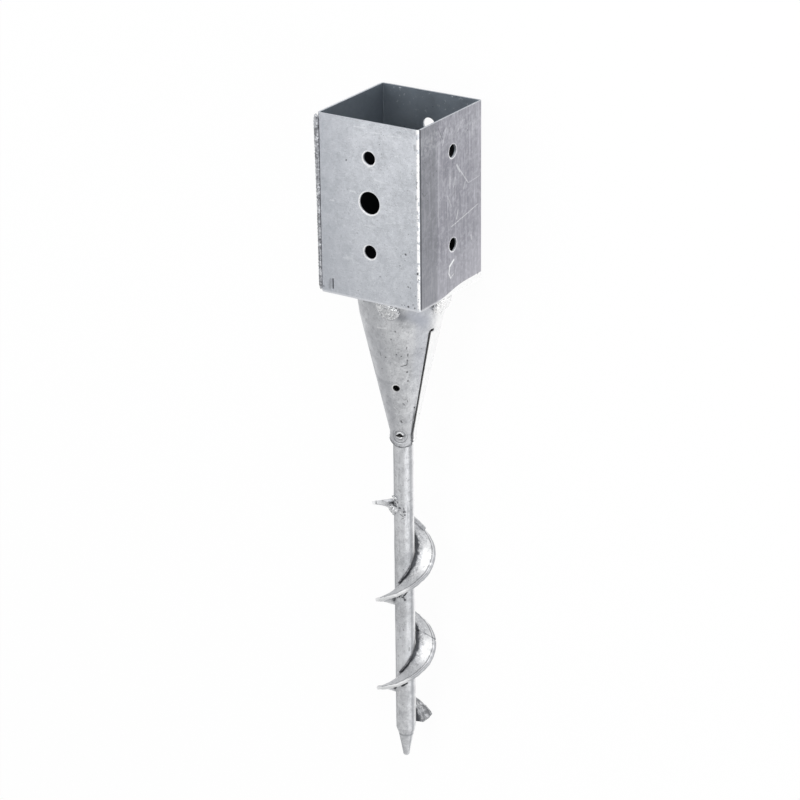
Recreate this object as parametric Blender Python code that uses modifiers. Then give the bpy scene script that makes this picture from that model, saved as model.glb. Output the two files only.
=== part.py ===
"""Ground screw with a square post sleeve, a welded assembly of galvanised steel.

Every piece is drawn upright, in metres: the tip of the shaft at the origin, the axis up +Z,
the face with three holes towards -Y and the face with two holes towards +X. One empty then
lays the finished screw down as it comes to rest by itself, on the lower edge of its sleeve
and the rim of its lowest flight, with the middle of its box over the origin.
"""

import math

import bmesh
import bpy
import numpy as np
from mathutils import Matrix, Vector

# Whole screw
overall_length = 0.585
fit_gap = 0.0003            # gap kept between two pieces that touch
cut_overrun = 0.006         # how far a cutter runs past the wall that it cuts

# Post sleeve: one folded sheet, open at the corner where its two edges are welded
sleeve_inner_width = 0.091
sleeve_height = 0.150
sleeve_wall = 0.002
sleeve_bend_radius = 0.003
sleeve_bend_segments = 4

# Holes in the sleeve, given by their drop below its rim
bolt_hole_diameter = 0.0115
bar_hole_diameter = 0.019
upper_hole_drop = 0.030
bar_hole_drop = 0.067
lower_hole_drop = 0.108
front_hole_shift = 0.0013   # off the middle of the front face, towards +X
back_hole_shift = -0.0019   # the same in the back face
back_hole_rise = 0.002      # the back face's holes lie this much nearer the rim
side_hole_shift = 0.0020    # off the middle of the side face, towards +Y
slit_mark_width = 0.0012    # short open slit near the welded corner of the front face
slit_mark_height = 0.009
slit_mark_rise = 0.004
slit_mark_inset = 0.012

# Weld run up the open corner of the sleeve
seam_bead_top_radius = 0.0022
seam_bead_low_radius = 0.0014
seam_bead_ripple = 0.00016
seam_bead_step = 0.0026

# Base plate, the floor of the sleeve
plate_thickness = 0.003
plate_recess = 0.001
plate_corner_cut = 0.009

# Cone rolled from sheet, with a collar round the shaft
cone_wall = 0.002
cone_length = 0.1415
cone_top_radius = 0.0376
cone_shoulder_radius = 0.0347
cone_shoulder_drop = 0.0235
collar_height = 0.012
collar_play = 0.0005
cone_steps = 64

# Openings in the cone: the seam that stays open, a round hole and the plug weld's hole
cone_slit_width = 0.0022
cone_slit_top_drop = 0.0315
cone_slit_bearing = math.radians(-13)
slit_notch_width = 0.0042
slit_notch_height = 0.0016
cone_hole_diameter = 0.006
cone_hole_rise = 0.0576
plug_hole_diameter = 0.0075
plug_hole_rise = 0.0113
plug_bearing = math.radians(-72)
plug_crater_radius = 0.0021
plug_crater_depth = 0.0019
plug_crown = 0.0007

# Weld lumps under the sleeve's edge, one at each side
lump_half_width = 0.0102
lump_half_depth = 0.0052
lump_half_height = 0.0118
lump_stand_off = 0.0026     # a lump's middle from the cone's top edge, away from the axis
lump_drop = 0.0068
lump_lean = math.radians(26)
front_lump_shift = 0.0118   # off the middle of its side, counter-clockwise from above
right_lump_shift = -0.0015
back_lump_shift = 0.0040
left_lump_shift = -0.0030

# Shaft: round bar with a forged point
shaft_diameter = 0.017
shaft_insertion = 0.041
shaft_edge_break = 0.0012
point_length = 0.0285
point_ring_rise = 0.0225
point_ring_radius = 0.0064
point_nose_rise = 0.0014
point_nose_radius = 0.0026
shaft_steps = 32

# Flights: ring blanks pulled to a right-hand helix
flight_thickness = 0.0025
flight_width = 0.0161
flight_root_play = 0.0008
flight_dish = 0.004         # how far the rim lies below the root
start_dish = 0.0018         # the same where the upper flight starts
rim_shift = 0.0007          # the rims sit off the axis by this much
rim_shift_bearing = math.radians(13)
upper_rim_shift = -0.0012   # the same for the upper flight, which sits off to the other side
ring_lean = 0.0018          # the rings hang lower on one side by this much
ring_lean_bearing = math.radians(-57)
lower_pitch_share = 0.2814  # pitches, as shares of the shaft's length below the cone
middle_pitch_share = 0.2913
upper_pitch_share = 0.3030
flight_end_height = 0.0321  # rim of the lowest flight, where it ends
butt_gap = 0.0006
tongue_width = 0.0032
end_corner_cut = 0.0097
flight_row_step = math.radians(6)
flight_columns = 5

# Bearings of the flights' ends about the axis, from +X towards +Y, falling down the helix
upper_start = math.radians(218)
upper_end = math.radians(75)
tongue_start = math.radians(128)
tongue_overcut = math.radians(14)
middle_start = math.radians(126.4)
joint_root = math.radians(-293)
joint_rim = math.radians(-321)
lower_end = math.radians(-673)
lower_end_rim = math.radians(-656)

# Weld beads along the roots of the flights
root_bead_radius = 0.0012
root_bead_ripple = 0.0002
root_bead_step = math.radians(9)
start_bead_radius = 0.0024  # the heavier bead under the upper flight's start
start_weld_span = (math.radians(275), math.radians(190))
turn_weld_span = (math.radians(-24), math.radians(-92))
under_weld_span = (math.radians(-70), math.radians(-158))

# Sizes that follow from the ones above
full_turn = 2 * math.pi
sleeve_width = sleeve_inner_width + 2 * sleeve_wall
sleeve_half = sleeve_width / 2
sleeve_low = overall_length - sleeve_height
seam_setback = sleeve_wall + fit_gap
plate_low = sleeve_low + plate_recess
cone_top = plate_low - fit_gap
cone_low = cone_top - cone_length
shaft_radius = shaft_diameter / 2
shaft_top = cone_low + shaft_insertion
collar_radius = shaft_radius + collar_play + cone_wall
flight_root = shaft_radius + flight_root_play
flight_rim = flight_root + flight_width
lump_radius = cone_top_radius + lump_stand_off
lower_pitch = lower_pitch_share * cone_low
middle_pitch = middle_pitch_share * cone_low
upper_pitch = upper_pitch_share * cone_low

COLLECTION_NAME = "ground_screw"
CUTTER_COLLECTION_NAME = "ground_screw_cutters"


def clear_scene():
    """Remove every object, mesh and collection that the file opens with."""
    for old in list(bpy.data.objects):
        bpy.data.objects.remove(old, do_unlink=True)
    for old in list(bpy.data.collections):
        bpy.data.collections.remove(old)


def add_collection(name):
    collection = bpy.data.collections.new(name)
    bpy.context.scene.collection.children.link(collection)
    return collection


def steel(name, color, roughness):
    """A plain galvanised steel for one sub-part."""
    material = bpy.data.materials.new(name)
    material.use_nodes = True
    shader = material.node_tree.nodes["Principled BSDF"]
    shader.inputs["Base Color"].default_value = (*color, 1.0)
    shader.inputs["Roughness"].default_value = roughness
    shader.inputs["Metallic"].default_value = 0.85
    return material


def add_object(name, mesh, collection):
    piece = bpy.data.objects.new(name, mesh)
    collection.objects.link(piece)
    return piece


def mesh_from(name, bm):
    mesh = bpy.data.meshes.new(name)
    bm.to_mesh(mesh)
    bm.free()
    return mesh


def add_part(name, mesh, color=(0.50, 0.52, 0.55), roughness=0.45):
    """Link a sub-part, give it its own steel and hang it on the empty that lays it down."""
    piece = add_object(name, mesh, parts)
    piece.data.materials.append(steel(name + "_steel", color, roughness))
    piece.parent = carrier
    return piece


def add_cutter(name, mesh):
    cutter = add_object(name, mesh, cutters)
    cutter.display_type = "WIRE"
    cutter.hide_render = True
    cutter.parent = carrier
    return cutter


def cut(piece, cutter, operation="DIFFERENCE"):
    boolean = piece.modifiers.new(cutter.name, "BOOLEAN")
    boolean.operation = operation
    boolean.solver = "EXACT"
    boolean.object = cutter


def thicken(piece, thickness, offset=-1.0):
    """Give a surface its wall, inwards unless told otherwise."""
    wall = piece.modifiers.new("wall", "SOLIDIFY")
    wall.thickness = thickness
    wall.offset = offset
    wall.use_even_offset = True


def smooth(piece, angle=math.radians(35)):
    piece.data.shade_smooth()
    piece.data.set_sharp_from_angle(angle=angle)


def box_mesh(name, low, high):
    """A box between two corners, from a unit cube."""
    low, high = Vector(low), Vector(high)
    size, middle = high - low, (high + low) / 2
    bm = bmesh.new()
    placing = Matrix.Translation(middle) @ Matrix.Diagonal((*size, 1.0))
    bmesh.ops.create_cube(bm, size=1.0, matrix=placing)
    return mesh_from(name, bm)


def pin_mesh(name, radius, start, end, segments=32):
    """A round pin between two points, to cut a drilled or punched hole."""
    start, end = Vector(start), Vector(end)
    run = end - start
    turn = run.to_track_quat("Z", "Y").to_matrix().to_4x4()
    bm = bmesh.new()
    bmesh.ops.create_cone(bm, cap_ends=True, segments=segments, radius1=radius, radius2=radius,
                          depth=run.length, matrix=Matrix.Translation((start + end) / 2) @ turn)
    return mesh_from(name, bm)


def profile_mesh(name, points):
    """An open chain of edges through (radius, height) points, ready to be turned."""
    bm = bmesh.new()
    chain = [bm.verts.new((radius, 0.0, height)) for radius, height in points]
    for first, second in zip(chain, chain[1:]):
        bm.edges.new((first, second))
    return mesh_from(name, bm)


def turn_profile(piece, steps):
    """Turn the profile once about the axis; it runs from top to bottom down its outer side."""
    turned = piece.modifiers.new("turned", "SCREW")
    turned.axis = "Z"
    turned.angle = full_turn
    turned.steps = steps
    turned.render_steps = steps
    turned.use_merge_vertices = True
    turned.merge_threshold = 0.0001


def around(bearing, radius, height=0.0):
    """The point at a bearing and a radius about the axis."""
    return Vector((radius * math.cos(bearing), radius * math.sin(bearing), height))


# Post sleeve


def sleeve_sheet():
    """The sheet's outer face, walked from one edge of the open corner round to the other."""
    walk = [(-sleeve_half + seam_setback, -sleeve_half), (sleeve_half, -sleeve_half),
            (sleeve_half, sleeve_half), (-sleeve_half, sleeve_half),
            (-sleeve_half, -sleeve_half + seam_setback)]
    bm = bmesh.new()
    chain = [bm.verts.new((x, y, sleeve_low)) for x, y in walk]
    edges = [bm.edges.new(pair) for pair in zip(chain, chain[1:])]
    raised = bmesh.ops.extrude_edge_only(bm, edges=edges)["geom"]
    top = [item for item in raised if isinstance(item, bmesh.types.BMVert)]
    bmesh.ops.translate(bm, verts=top, vec=(0.0, 0.0, sleeve_height))
    bmesh.ops.recalc_face_normals(bm, faces=bm.faces)
    front = min(bm.faces, key=lambda face: face.calc_center_median().y)
    if front.normal.y > 0:
        bmesh.ops.reverse_faces(bm, faces=bm.faces)
    return mesh_from("post_sleeve", bm)


def make_sleeve():
    sleeve = add_part("post_sleeve", sleeve_sheet(), (0.52, 0.55, 0.59), 0.42)
    bends = sleeve.modifiers.new("bends", "BEVEL")
    bends.width = sleeve_bend_radius
    bends.segments = sleeve_bend_segments
    bends.limit_method = "ANGLE"
    thicken(sleeve, sleeve_wall)
    reach = sleeve_half + cut_overrun
    front_holes = [("upper", bolt_hole_diameter, upper_hole_drop),
                   ("bar", bar_hole_diameter, bar_hole_drop),
                   ("lower", bolt_hole_diameter, lower_hole_drop)]
    faces = [("front", front_hole_shift, 0.0, -reach),
             ("back", back_hole_shift, back_hole_rise, reach)]
    for face, shift, rise, outside in faces:
        for label, diameter, drop in front_holes:
            height = overall_length - drop + rise
            pin = pin_mesh(face + "_" + label + "_hole", diameter / 2,
                           (shift, min(outside, 0.0), height), (shift, max(outside, 0.0), height))
            cut(sleeve, add_cutter(face + "_" + label + "_hole", pin))
    for label, drop in (("upper", upper_hole_drop), ("lower", lower_hole_drop)):
        height = overall_length - drop
        pin = pin_mesh("side_" + label + "_hole", bolt_hole_diameter / 2,
                       (-reach, side_hole_shift, height), (reach, side_hole_shift, height))
        cut(sleeve, add_cutter("side_" + label + "_hole", pin))
    mark_x = -sleeve_half + slit_mark_inset
    mark_low = sleeve_low + slit_mark_rise
    slit = box_mesh("corner_slit", (mark_x, -reach, mark_low),
                    (mark_x + slit_mark_width, -sleeve_half + cut_overrun,
                     mark_low + slit_mark_height))
    cut(sleeve, add_cutter("corner_slit", slit))
    smooth(sleeve)


def make_base_plate():
    """A square plate with clipped corners, which leave the drains that hot zinc needs."""
    half = sleeve_inner_width / 2 - fit_gap
    inner = half - plate_corner_cut
    corners = [(half, -inner), (half, inner), (inner, half), (-inner, half),
               (-half, inner), (-half, -inner), (-inner, -half), (inner, -half)]
    bm = bmesh.new()
    floor = bm.faces.new([bm.verts.new((x, y, plate_low)) for x, y in corners])
    raised = bmesh.ops.extrude_face_region(bm, geom=[floor])["geom"]
    top = [item for item in raised if isinstance(item, bmesh.types.BMVert)]
    bmesh.ops.translate(bm, verts=top, vec=(0.0, 0.0, plate_thickness))
    bmesh.ops.recalc_face_normals(bm, faces=bm.faces)
    add_part("base_plate", mesh_from("base_plate", bm), (0.42, 0.44, 0.48), 0.5)


# Welds


def bead(name, points, radii, sides=2):
    """A run of weld metal: a tube through the points, as thick at each as its radius."""
    curve = bpy.data.curves.new(name, "CURVE")
    curve.dimensions = "3D"
    curve.bevel_depth = 1.0
    curve.bevel_resolution = sides
    curve.use_fill_caps = True
    spline = curve.splines.new("POLY")
    spline.points.add(len(points) - 1)
    for knot, place, radius in zip(spline.points, points, radii):
        knot.co = (*place, 1.0)
        knot.radius = radius
    piece = add_object(name, curve, parts)
    curve.materials.append(steel(name + "_steel", (0.47, 0.48, 0.50), 0.6))
    piece.parent = carrier
    return piece


def make_seam_weld():
    """The weld up the open corner: thick and proud at the rim, thinner lower down."""
    clear_edge = -sleeve_half + seam_setback - fit_gap
    low = sleeve_low + seam_bead_low_radius
    high = overall_length - seam_bead_low_radius
    count = int((high - low) / seam_bead_step)
    points, radii = [], []
    for index in range(count + 1):
        share = index / count
        taper = math.sin(math.pi * min(share, 1 - share) * 2 + 0.35)
        end_share = 1.0 if 0 < index < count else 0.55
        base = seam_bead_low_radius + (seam_bead_top_radius - seam_bead_low_radius) * share ** 2
        radius = base * end_share + seam_bead_ripple * math.sin(index * 2.4) * taper
        place = clear_edge - base - seam_bead_ripple
        points.append((place, place, low + (high - low) * share))
        radii.append(radius)
    bead("sleeve_seam_weld", points, radii)


def weld_clearance():
    """Cutters that keep a lump off the cone and off the sleeve, each a gap larger than it."""
    rings = [(0.0, cone_top + cut_overrun), (cone_top_radius + fit_gap, cone_top + cut_overrun),
             (cone_top_radius + fit_gap, cone_top),
             (cone_shoulder_radius + fit_gap, cone_top - cone_shoulder_drop),
             (collar_radius + fit_gap, cone_low + collar_height),
             (0.0, cone_low + collar_height)]
    core = add_cutter("cone_clearance", profile_mesh("cone_clearance", rings))
    turn_profile(core, cone_steps)
    reach = sleeve_half + lump_half_height
    above = add_cutter("sleeve_clearance", box_mesh(
        "sleeve_clearance", (-reach, -reach, sleeve_low - fit_gap),
        (reach, reach, sleeve_low + lump_half_height + cut_overrun)))
    return core, above


def make_sleeve_welds():
    """Four weld lumps that tie the sleeve's edge to the cone, one at each side."""
    core, above = weld_clearance()
    height = sleeve_low - lump_drop
    lean = Matrix.Rotation(lump_lean, 4, "Y")
    sides = [("front", -90, front_lump_shift), ("right", 0, right_lump_shift),
             ("back", 90, back_lump_shift), ("left", 180, left_lump_shift)]
    for label, bearing, lump_shift in sides:
        turn = Matrix.Rotation(math.radians(bearing), 4, "Z")
        form = Matrix.Diagonal((lump_half_depth, lump_half_width, lump_half_height, 1.0))
        shift = Matrix.Translation((lump_radius, lump_shift, height))
        bm = bmesh.new()
        bmesh.ops.create_uvsphere(bm, u_segments=20, v_segments=12, radius=1.0,
                                  matrix=turn @ shift @ lean @ form)
        lump = add_part("sleeve_weld_" + label, mesh_from("sleeve_weld_" + label, bm),
                        (0.58, 0.60, 0.63), 0.5)
        cut(lump, core)
        cut(lump, above)
        smooth(lump)


# Cone


def make_cone():
    """A cone rolled from sheet and drawn in to a collar; its seam stays open low down."""
    rings = [(cone_top_radius, cone_top),
             (cone_shoulder_radius, cone_top - cone_shoulder_drop),
             (collar_radius, cone_low + collar_height),
             (collar_radius, cone_low)]
    cone = add_part("cone", profile_mesh("cone", rings), (0.52, 0.53, 0.56), 0.42)
    turn_profile(cone, cone_steps)
    thicken(cone, cone_wall)
    out = cone_top_radius + cut_overrun
    slit_top = sleeve_low - cone_slit_top_drop
    turn = Matrix.Rotation(cone_slit_bearing, 4, "Z")
    slit = box_mesh("cone_slit", (0.0, -cone_slit_width / 2, cone_low - cut_overrun),
                    (out, cone_slit_width / 2, slit_top))
    slit.transform(turn)
    cut(cone, add_cutter("cone_slit", slit))
    notch = box_mesh("slit_notch", (0.0, 0.0, slit_top - slit_notch_height),
                     (out, slit_notch_width, slit_top + slit_notch_height / 2))
    notch.transform(turn)
    cut(cone, add_cutter("slit_notch", notch))
    for name, diameter, rise in (("cone_hole", cone_hole_diameter, cone_hole_rise),
                                 ("plug_hole", plug_hole_diameter, plug_hole_rise)):
        height = cone_low + rise
        pin = pin_mesh(name, diameter / 2, around(plug_bearing, 0.0, height),
                       around(plug_bearing, out, height), segments=24)
        cut(cone, add_cutter(name, pin))
    smooth(cone)


def make_plug_weld():
    """Weld metal that fills the collar's hole down to the shaft, with a crater in its face."""
    radius = plug_hole_diameter / 2 - fit_gap
    face = collar_radius + plug_crown
    seat = shaft_radius + fit_gap
    rings = [(0.0, face - plug_crater_depth), (plug_crater_radius / 2, face - plug_crater_depth),
             (plug_crater_radius, face), (radius - plug_crown, face),
             (radius, face - plug_crown), (radius, seat), (0.0, seat)]
    plug = add_part("plug_weld", profile_mesh("plug_weld", rings), (0.4, 0.41, 0.43), 0.6)
    turn_profile(plug, 24)
    plug.rotation_euler = (0.0, math.pi / 2, plug_bearing)
    plug.location = (0.0, 0.0, cone_low + plug_hole_rise)
    hollow = pin_mesh("shaft_clearance", seat,
                      (0.0, 0.0, cone_low - cut_overrun), (0.0, 0.0, shaft_top))
    cut(plug, add_cutter("shaft_clearance", hollow))
    smooth(plug)


# Shaft


def make_shaft():
    """Round bar, turned: a broken edge at its hidden end and a point forged in two tapers."""
    rings = [(0.0, shaft_top), (shaft_radius - shaft_edge_break, shaft_top),
             (shaft_radius, shaft_top - shaft_edge_break), (shaft_radius, point_length),
             (point_ring_radius, point_ring_rise), (point_nose_radius, point_nose_rise),
             (point_nose_radius / 2, point_nose_rise / 4), (0.0, 0.0)]
    shaft = add_part("shaft", profile_mesh("shaft", rings), (0.50, 0.51, 0.54), 0.42)
    turn_profile(shaft, shaft_steps)
    smooth(shaft)


# Flights


def climb(bearing, start, pitch):
    """Rise of a rim from one bearing to another: a pitch in a turn, less its lean."""
    lean = math.cos(bearing - ring_lean_bearing) - math.cos(start - ring_lean_bearing)
    return (bearing - start) / full_turn * pitch - ring_lean * lean


def lower_rim(bearing):
    """Height of the lower flight's rim above the tip of the shaft."""
    return flight_end_height + climb(bearing, lower_end_rim, lower_pitch)


def middle_rim(bearing):
    """The middle flight's rim starts where the lower flight's rim meets it."""
    return lower_rim(joint_rim) + climb(bearing, joint_rim, middle_pitch)


def lead_cosine(pitch, radius):
    """How much a sheet's own thickness grows when it is measured up the axis."""
    return math.cos(math.atan(pitch / (full_turn * radius)))


def upper_rim(bearing):
    """The upper flight's tongue lies on the middle flight's rim."""
    stack = (flight_thickness + 2 * fit_gap) / lead_cosine(middle_pitch, flight_rim)
    return middle_rim(upper_end) + stack + climb(bearing, upper_end, upper_pitch)


def flight(name, rim_height, start, end, first_dish=flight_dish, shift=rim_shift):
    """A ring blank pulled to a helix.

    start and end give the bearings of the blade's ends as functions of the share of its
    width, 0 at the root and 1 at the rim. A point at a bearing b and a width share w lies at
    the radius root + w * (width + shift * cos(b - shift_bearing)) and at the height
    rim_height(b) + (1 - w) * dish, where the dish changes evenly from the first to the usual.
    """
    span = start(1.0) - end(1.0)
    rows = max(2, round(span / flight_row_step))
    bm = bmesh.new()
    bmesh.ops.create_grid(bm, x_segments=rows, y_segments=flight_columns, size=flight_width)
    for vertex in bm.verts:
        along_share = (vertex.co.x / flight_width + 1) / 2
        width_share = (vertex.co.y / flight_width + 1) / 2
        bearing = start(width_share) + (end(width_share) - start(width_share)) * along_share
        width = flight_width + shift * math.cos(bearing - rim_shift_bearing)
        dish = first_dish + (flight_dish - first_dish) * along_share
        height = rim_height(bearing) + dish * (1 - width_share)
        vertex.co = around(bearing, flight_root + width * width_share, height)
    bmesh.ops.recalc_face_normals(bm, faces=bm.faces)
    blade = add_part(name, mesh_from(name, bm), (0.60, 0.61, 0.64), 0.4)
    thicken(blade, flight_thickness, offset=0.0)
    return blade


def slanted(root_bearing, rim_bearing):
    """An end cut on a slant: its bearing runs evenly from the root to the rim."""
    return lambda width_share: root_bearing + (rim_bearing - root_bearing) * width_share


def clipped(bearing, rim_bearing, cut_width):
    """A radial end whose outer corner is clipped over the last stretch of its width."""
    kept_share = 1 - cut_width / flight_width

    def end(width_share):
        past_share = max(0.0, width_share - kept_share) / (1 - kept_share)
        return bearing + (rim_bearing - bearing) * past_share
    return end


def make_flights():
    half_butt = butt_gap / 2 / flight_root
    lower = flight("flight_lower", lower_rim,
                   slanted(joint_root - half_butt, joint_rim - half_butt),
                   clipped(lower_end, lower_end_rim, end_corner_cut))
    middle = flight("flight_middle", middle_rim, slanted(middle_start, middle_start),
                    slanted(joint_root + half_butt, joint_rim + half_butt))
    upper = flight("flight_upper", upper_rim, slanted(upper_start, upper_start),
                   slanted(upper_end, upper_end), start_dish, upper_rim_shift)
    cut(upper, add_cutter("tongue_cut", tongue_wedge()))
    for blade in (lower, middle, upper):
        smooth(blade)


def tongue_wedge():
    """A slice of a disc that cuts the upper flight's end away up to a narrow tongue."""
    inner = flight_rim - tongue_width
    low = upper_rim(upper_end) - flight_dish - cut_overrun
    high = upper_rim(tongue_start) + flight_dish + cut_overrun
    sweep = np.linspace(tongue_start, upper_end - tongue_overcut, 12)
    bm = bmesh.new()
    outline = [Vector((0.0, 0.0, low))]
    outline += [around(bearing, inner, low) for bearing in sweep]
    slice_face = bm.faces.new([bm.verts.new(point) for point in outline])
    raised = bmesh.ops.extrude_face_region(bm, geom=[slice_face])["geom"]
    top = [item for item in raised if isinstance(item, bmesh.types.BMVert)]
    bmesh.ops.translate(bm, verts=top, vec=(0.0, 0.0, high - low))
    bmesh.ops.recalc_face_normals(bm, faces=bm.faces)
    return mesh_from("tongue_cut", bm)


def root_bead(name, root_height, pitch, span, side, thick=root_bead_radius):
    """A bead in the corner between the shaft and a blade, above it or, with side -1, below."""
    radius = shaft_radius + thick + root_bead_ripple + fit_gap
    stand_off = flight_thickness / 2 + thick + root_bead_ripple + 2 * fit_gap
    lift = stand_off / lead_cosine(pitch, radius)
    count = max(3, round(abs(span[0] - span[1]) / root_bead_step))
    points, radii = [], []
    for index in range(count + 1):
        bearing = span[0] + (span[1] - span[0]) * index / count
        points.append(around(bearing, radius, root_height(bearing) + side * lift))
        end_share = 1.0 if 0 < index < count else 0.5
        radii.append(thick * end_share + root_bead_ripple * math.sin(index * 2.1))
    bead(name, points, radii)


def upper_root(bearing):
    """The weld at the upper flight's start runs on past the blade's end at one height."""
    return upper_rim(min(bearing, upper_start)) + start_dish


def middle_root(bearing):
    return middle_rim(bearing) + flight_dish


def lower_root(bearing):
    return lower_rim(bearing) + flight_dish


def make_flight_welds():
    root_bead("flight_weld_start", upper_root, upper_pitch, start_weld_span, -1,
              start_bead_radius)
    for label, root_height, pitch, turns in (("first", middle_root, middle_pitch, 0),
                                             ("second", lower_root, lower_pitch, 1)):
        above = tuple(bearing - turns * full_turn for bearing in turn_weld_span)
        below = tuple(bearing - turns * full_turn for bearing in under_weld_span)
        root_bead("flight_weld_" + label + "_turn", root_height, pitch, above, 1)
        root_bead("flight_weld_" + label + "_under", root_height, pitch, below, -1)


# Laying down


def drawn_points():
    """Every point of every finished piece, where it is drawn."""
    graph = bpy.context.evaluated_depsgraph_get()
    clouds = []
    for piece in parts.objects:
        if piece.type == "EMPTY":
            continue
        shown = piece.evaluated_get(graph)
        mesh = shown.to_mesh()
        cloud = np.empty(len(mesh.vertices) * 3)
        mesh.vertices.foreach_get("co", cloud)
        shown.to_mesh_clear()
        place = np.array(piece.matrix_world)
        clouds.append(cloud.reshape(-1, 3) @ place[:3, :3].T + place[:3, 3])
    return np.concatenate(clouds)


def lay_down():
    """Tip the screw over its sleeve's lower back edge until the first point meets the floor.

    Laid on its back face, the screw overhangs the edge at height sleeve_low. It tips down
    about that edge by the smallest angle that brings any lower point to the floor.
    """
    bpy.context.view_layer.update()
    cloud = drawn_points()
    below = cloud[cloud[:, 2] < sleeve_low - fit_gap]
    tilts = np.arctan2(sleeve_half - below[:, 1], sleeve_low - below[:, 2])
    tilt = float(tilts.min())
    laid = Matrix.Rotation(tilt - math.pi / 2, 4, "X")
    rested = cloud @ np.array(laid)[:3, :3].T
    low, high = rested.min(axis=0), rested.max(axis=0)
    centre = (low + high) / 2
    carrier.matrix_world = Matrix.Translation((-centre[0], -centre[1], -low[2])) @ laid
    bpy.context.view_layer.update()
    print("rest tilt in degrees", round(math.degrees(tilt), 3))


clear_scene()
parts = add_collection(COLLECTION_NAME)
cutters = add_collection(CUTTER_COLLECTION_NAME)
carrier = bpy.data.objects.new("laid_down", None)
parts.objects.link(carrier)

make_sleeve()
make_seam_weld()
make_base_plate()
make_sleeve_welds()
make_cone()
make_plug_weld()
make_shaft()
make_flights()
make_flight_welds()
lay_down()
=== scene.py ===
# %% [markdown]
# A foundation ground screw, dressed for its picture.
#
# The real object is welded up from plain stock and then dipped in molten zinc: a square sleeve
# folded from sheet, a cone rolled from sheet, a round bar with a forged point, and three ring
# blanks pulled to a helix. The solid model gives every piece its place and size. This lesson
# gives them what the zinc bath and the welder left: ripples, burrs, runs, mottle and scratches.

# %% Load the solid model
import math

import bmesh
import bpy
import numpy as np
from mathutils import Matrix


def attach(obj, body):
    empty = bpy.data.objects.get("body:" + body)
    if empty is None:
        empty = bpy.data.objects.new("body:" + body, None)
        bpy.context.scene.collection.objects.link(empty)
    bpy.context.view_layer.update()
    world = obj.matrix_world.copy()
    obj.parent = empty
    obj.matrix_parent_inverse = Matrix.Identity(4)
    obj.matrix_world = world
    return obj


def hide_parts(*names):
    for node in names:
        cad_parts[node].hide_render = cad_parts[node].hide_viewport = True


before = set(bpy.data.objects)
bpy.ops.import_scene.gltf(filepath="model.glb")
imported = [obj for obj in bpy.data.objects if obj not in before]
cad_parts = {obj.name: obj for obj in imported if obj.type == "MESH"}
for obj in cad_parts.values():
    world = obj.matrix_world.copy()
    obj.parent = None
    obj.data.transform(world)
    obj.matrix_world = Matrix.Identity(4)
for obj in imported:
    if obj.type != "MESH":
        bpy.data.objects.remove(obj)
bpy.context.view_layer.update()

print("nodes in the solid model", len(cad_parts))

# %% [markdown]
# The screw was drawn upright, with its tip at the origin, and then laid down on its sleeve. It
# is far easier to say where a weld or a scratch is on the upright screw: so high above the tip,
# so far round the axis. We read the laid screw's own axes from its bar, and work in them.

# %% Find the screw's own axes
def mesh_points(obj):
    """All the vertices of a mesh as one array, in their order."""
    flat = np.empty(len(obj.data.vertices) * 3)
    obj.data.vertices.foreach_get("co", flat)
    return flat.reshape(-1, 3)


bar_points = np.unique(mesh_points(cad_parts["shaft"]).round(7), axis=0)
tip = bar_points[bar_points[:, 1].argmin()]
reach = np.linalg.norm(bar_points - tip, axis=1)
end_depth = 0.0006
far_ring = bar_points[reach > reach.max() - end_depth].mean(axis=0)
axis_z = (far_ring - tip) / np.linalg.norm(far_ring - tip)
axis_x = np.array([1.0, 0.0, 0.0])
axis_y = np.cross(axis_z, axis_x)
turn = np.stack([axis_x, axis_y, axis_z], axis=1)
print("tip of the bar", tip.round(5), "screw axis", axis_z.round(5))


def laid(points):
    """Points of the upright screw, carried to where it lies: tip + turn times the point."""
    return points @ turn.T + tip


# %% [markdown]
# The camera stands where the photographer stood. Its place and directions were measured against
# the upright screw, so they are carried over in the same way, and the view stays true.

# %% Camera
def stand_at(name, data, place, right, up, back):
    """A new object at a place, with its own axes along three directions."""
    made = bpy.data.objects.new(name, data)
    bpy.context.scene.collection.objects.link(made)
    made.matrix_world = Matrix([[*row, 0.0] for row in np.stack([right, up, back], axis=1)]
                               + [[0.0, 0.0, 0.0, 1.0]])
    made.location = place
    return made


picture_size = 800
focal_pixels = 3019.841
sensor_width = 36.0
camera_data = bpy.data.cameras.new("camera")
camera_data.sensor_width = sensor_width
camera_data.lens = focal_pixels / picture_size * sensor_width
camera_data.clip_end = 50.0
stand = laid(np.array([1.243709, -1.92183, 1.297365]))
right = turn @ np.array([0.84111695, 0.54076774, -0.00961878])
up = turn @ np.array([-0.20253555, 0.33141712, 0.92148904])
bpy.context.scene.camera = stand_at("camera", camera_data, stand, right, up, np.cross(right, up))
print("camera lens", round(camera_data.lens, 3), "stands at", stand.round(4))

# %% [markdown]
# Sizes of the screw, in metres and degrees, as the solid model has them. Every new surface is
# worked out from these, so it sits on what carries it.

# %% Sizes
overall_length = 0.585
sleeve_half = 0.0475
sleeve_low = 0.435
seam_edge = -sleeve_half + 0.002
bolt_hole_radius, bar_hole_radius = 0.00575, 0.0095
upper_hole, bar_hole, lower_hole = 0.555, 0.518, 0.477
front_hole_shift, side_hole_shift = 0.0013, 0.002
back_hole_shift, back_hole_rise = -0.0019, 0.002

cone_low, collar_radius = 0.2942, 0.011
cone_profile = np.array([[cone_low, collar_radius], [0.3062, collar_radius], [0.4122, 0.0347],
                         [0.4357, 0.0376]])
collar_press, collar_front = 0.004, math.radians(-60)
plug_bearing = math.radians(-72)
plug_rise, cone_hole_rise = 0.0113, 0.0576
cone_hole_out = float(np.interp(cone_low + cone_hole_rise, cone_profile[:, 0], cone_profile[:, 1]))

lump_half_depth, lump_half_width, lump_half_height = 0.0052, 0.0102, 0.0118
lump_radius = 0.0398
lump_drop, lump_gap = 0.0068, 0.0001
lump_lean = math.radians(26)

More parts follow.
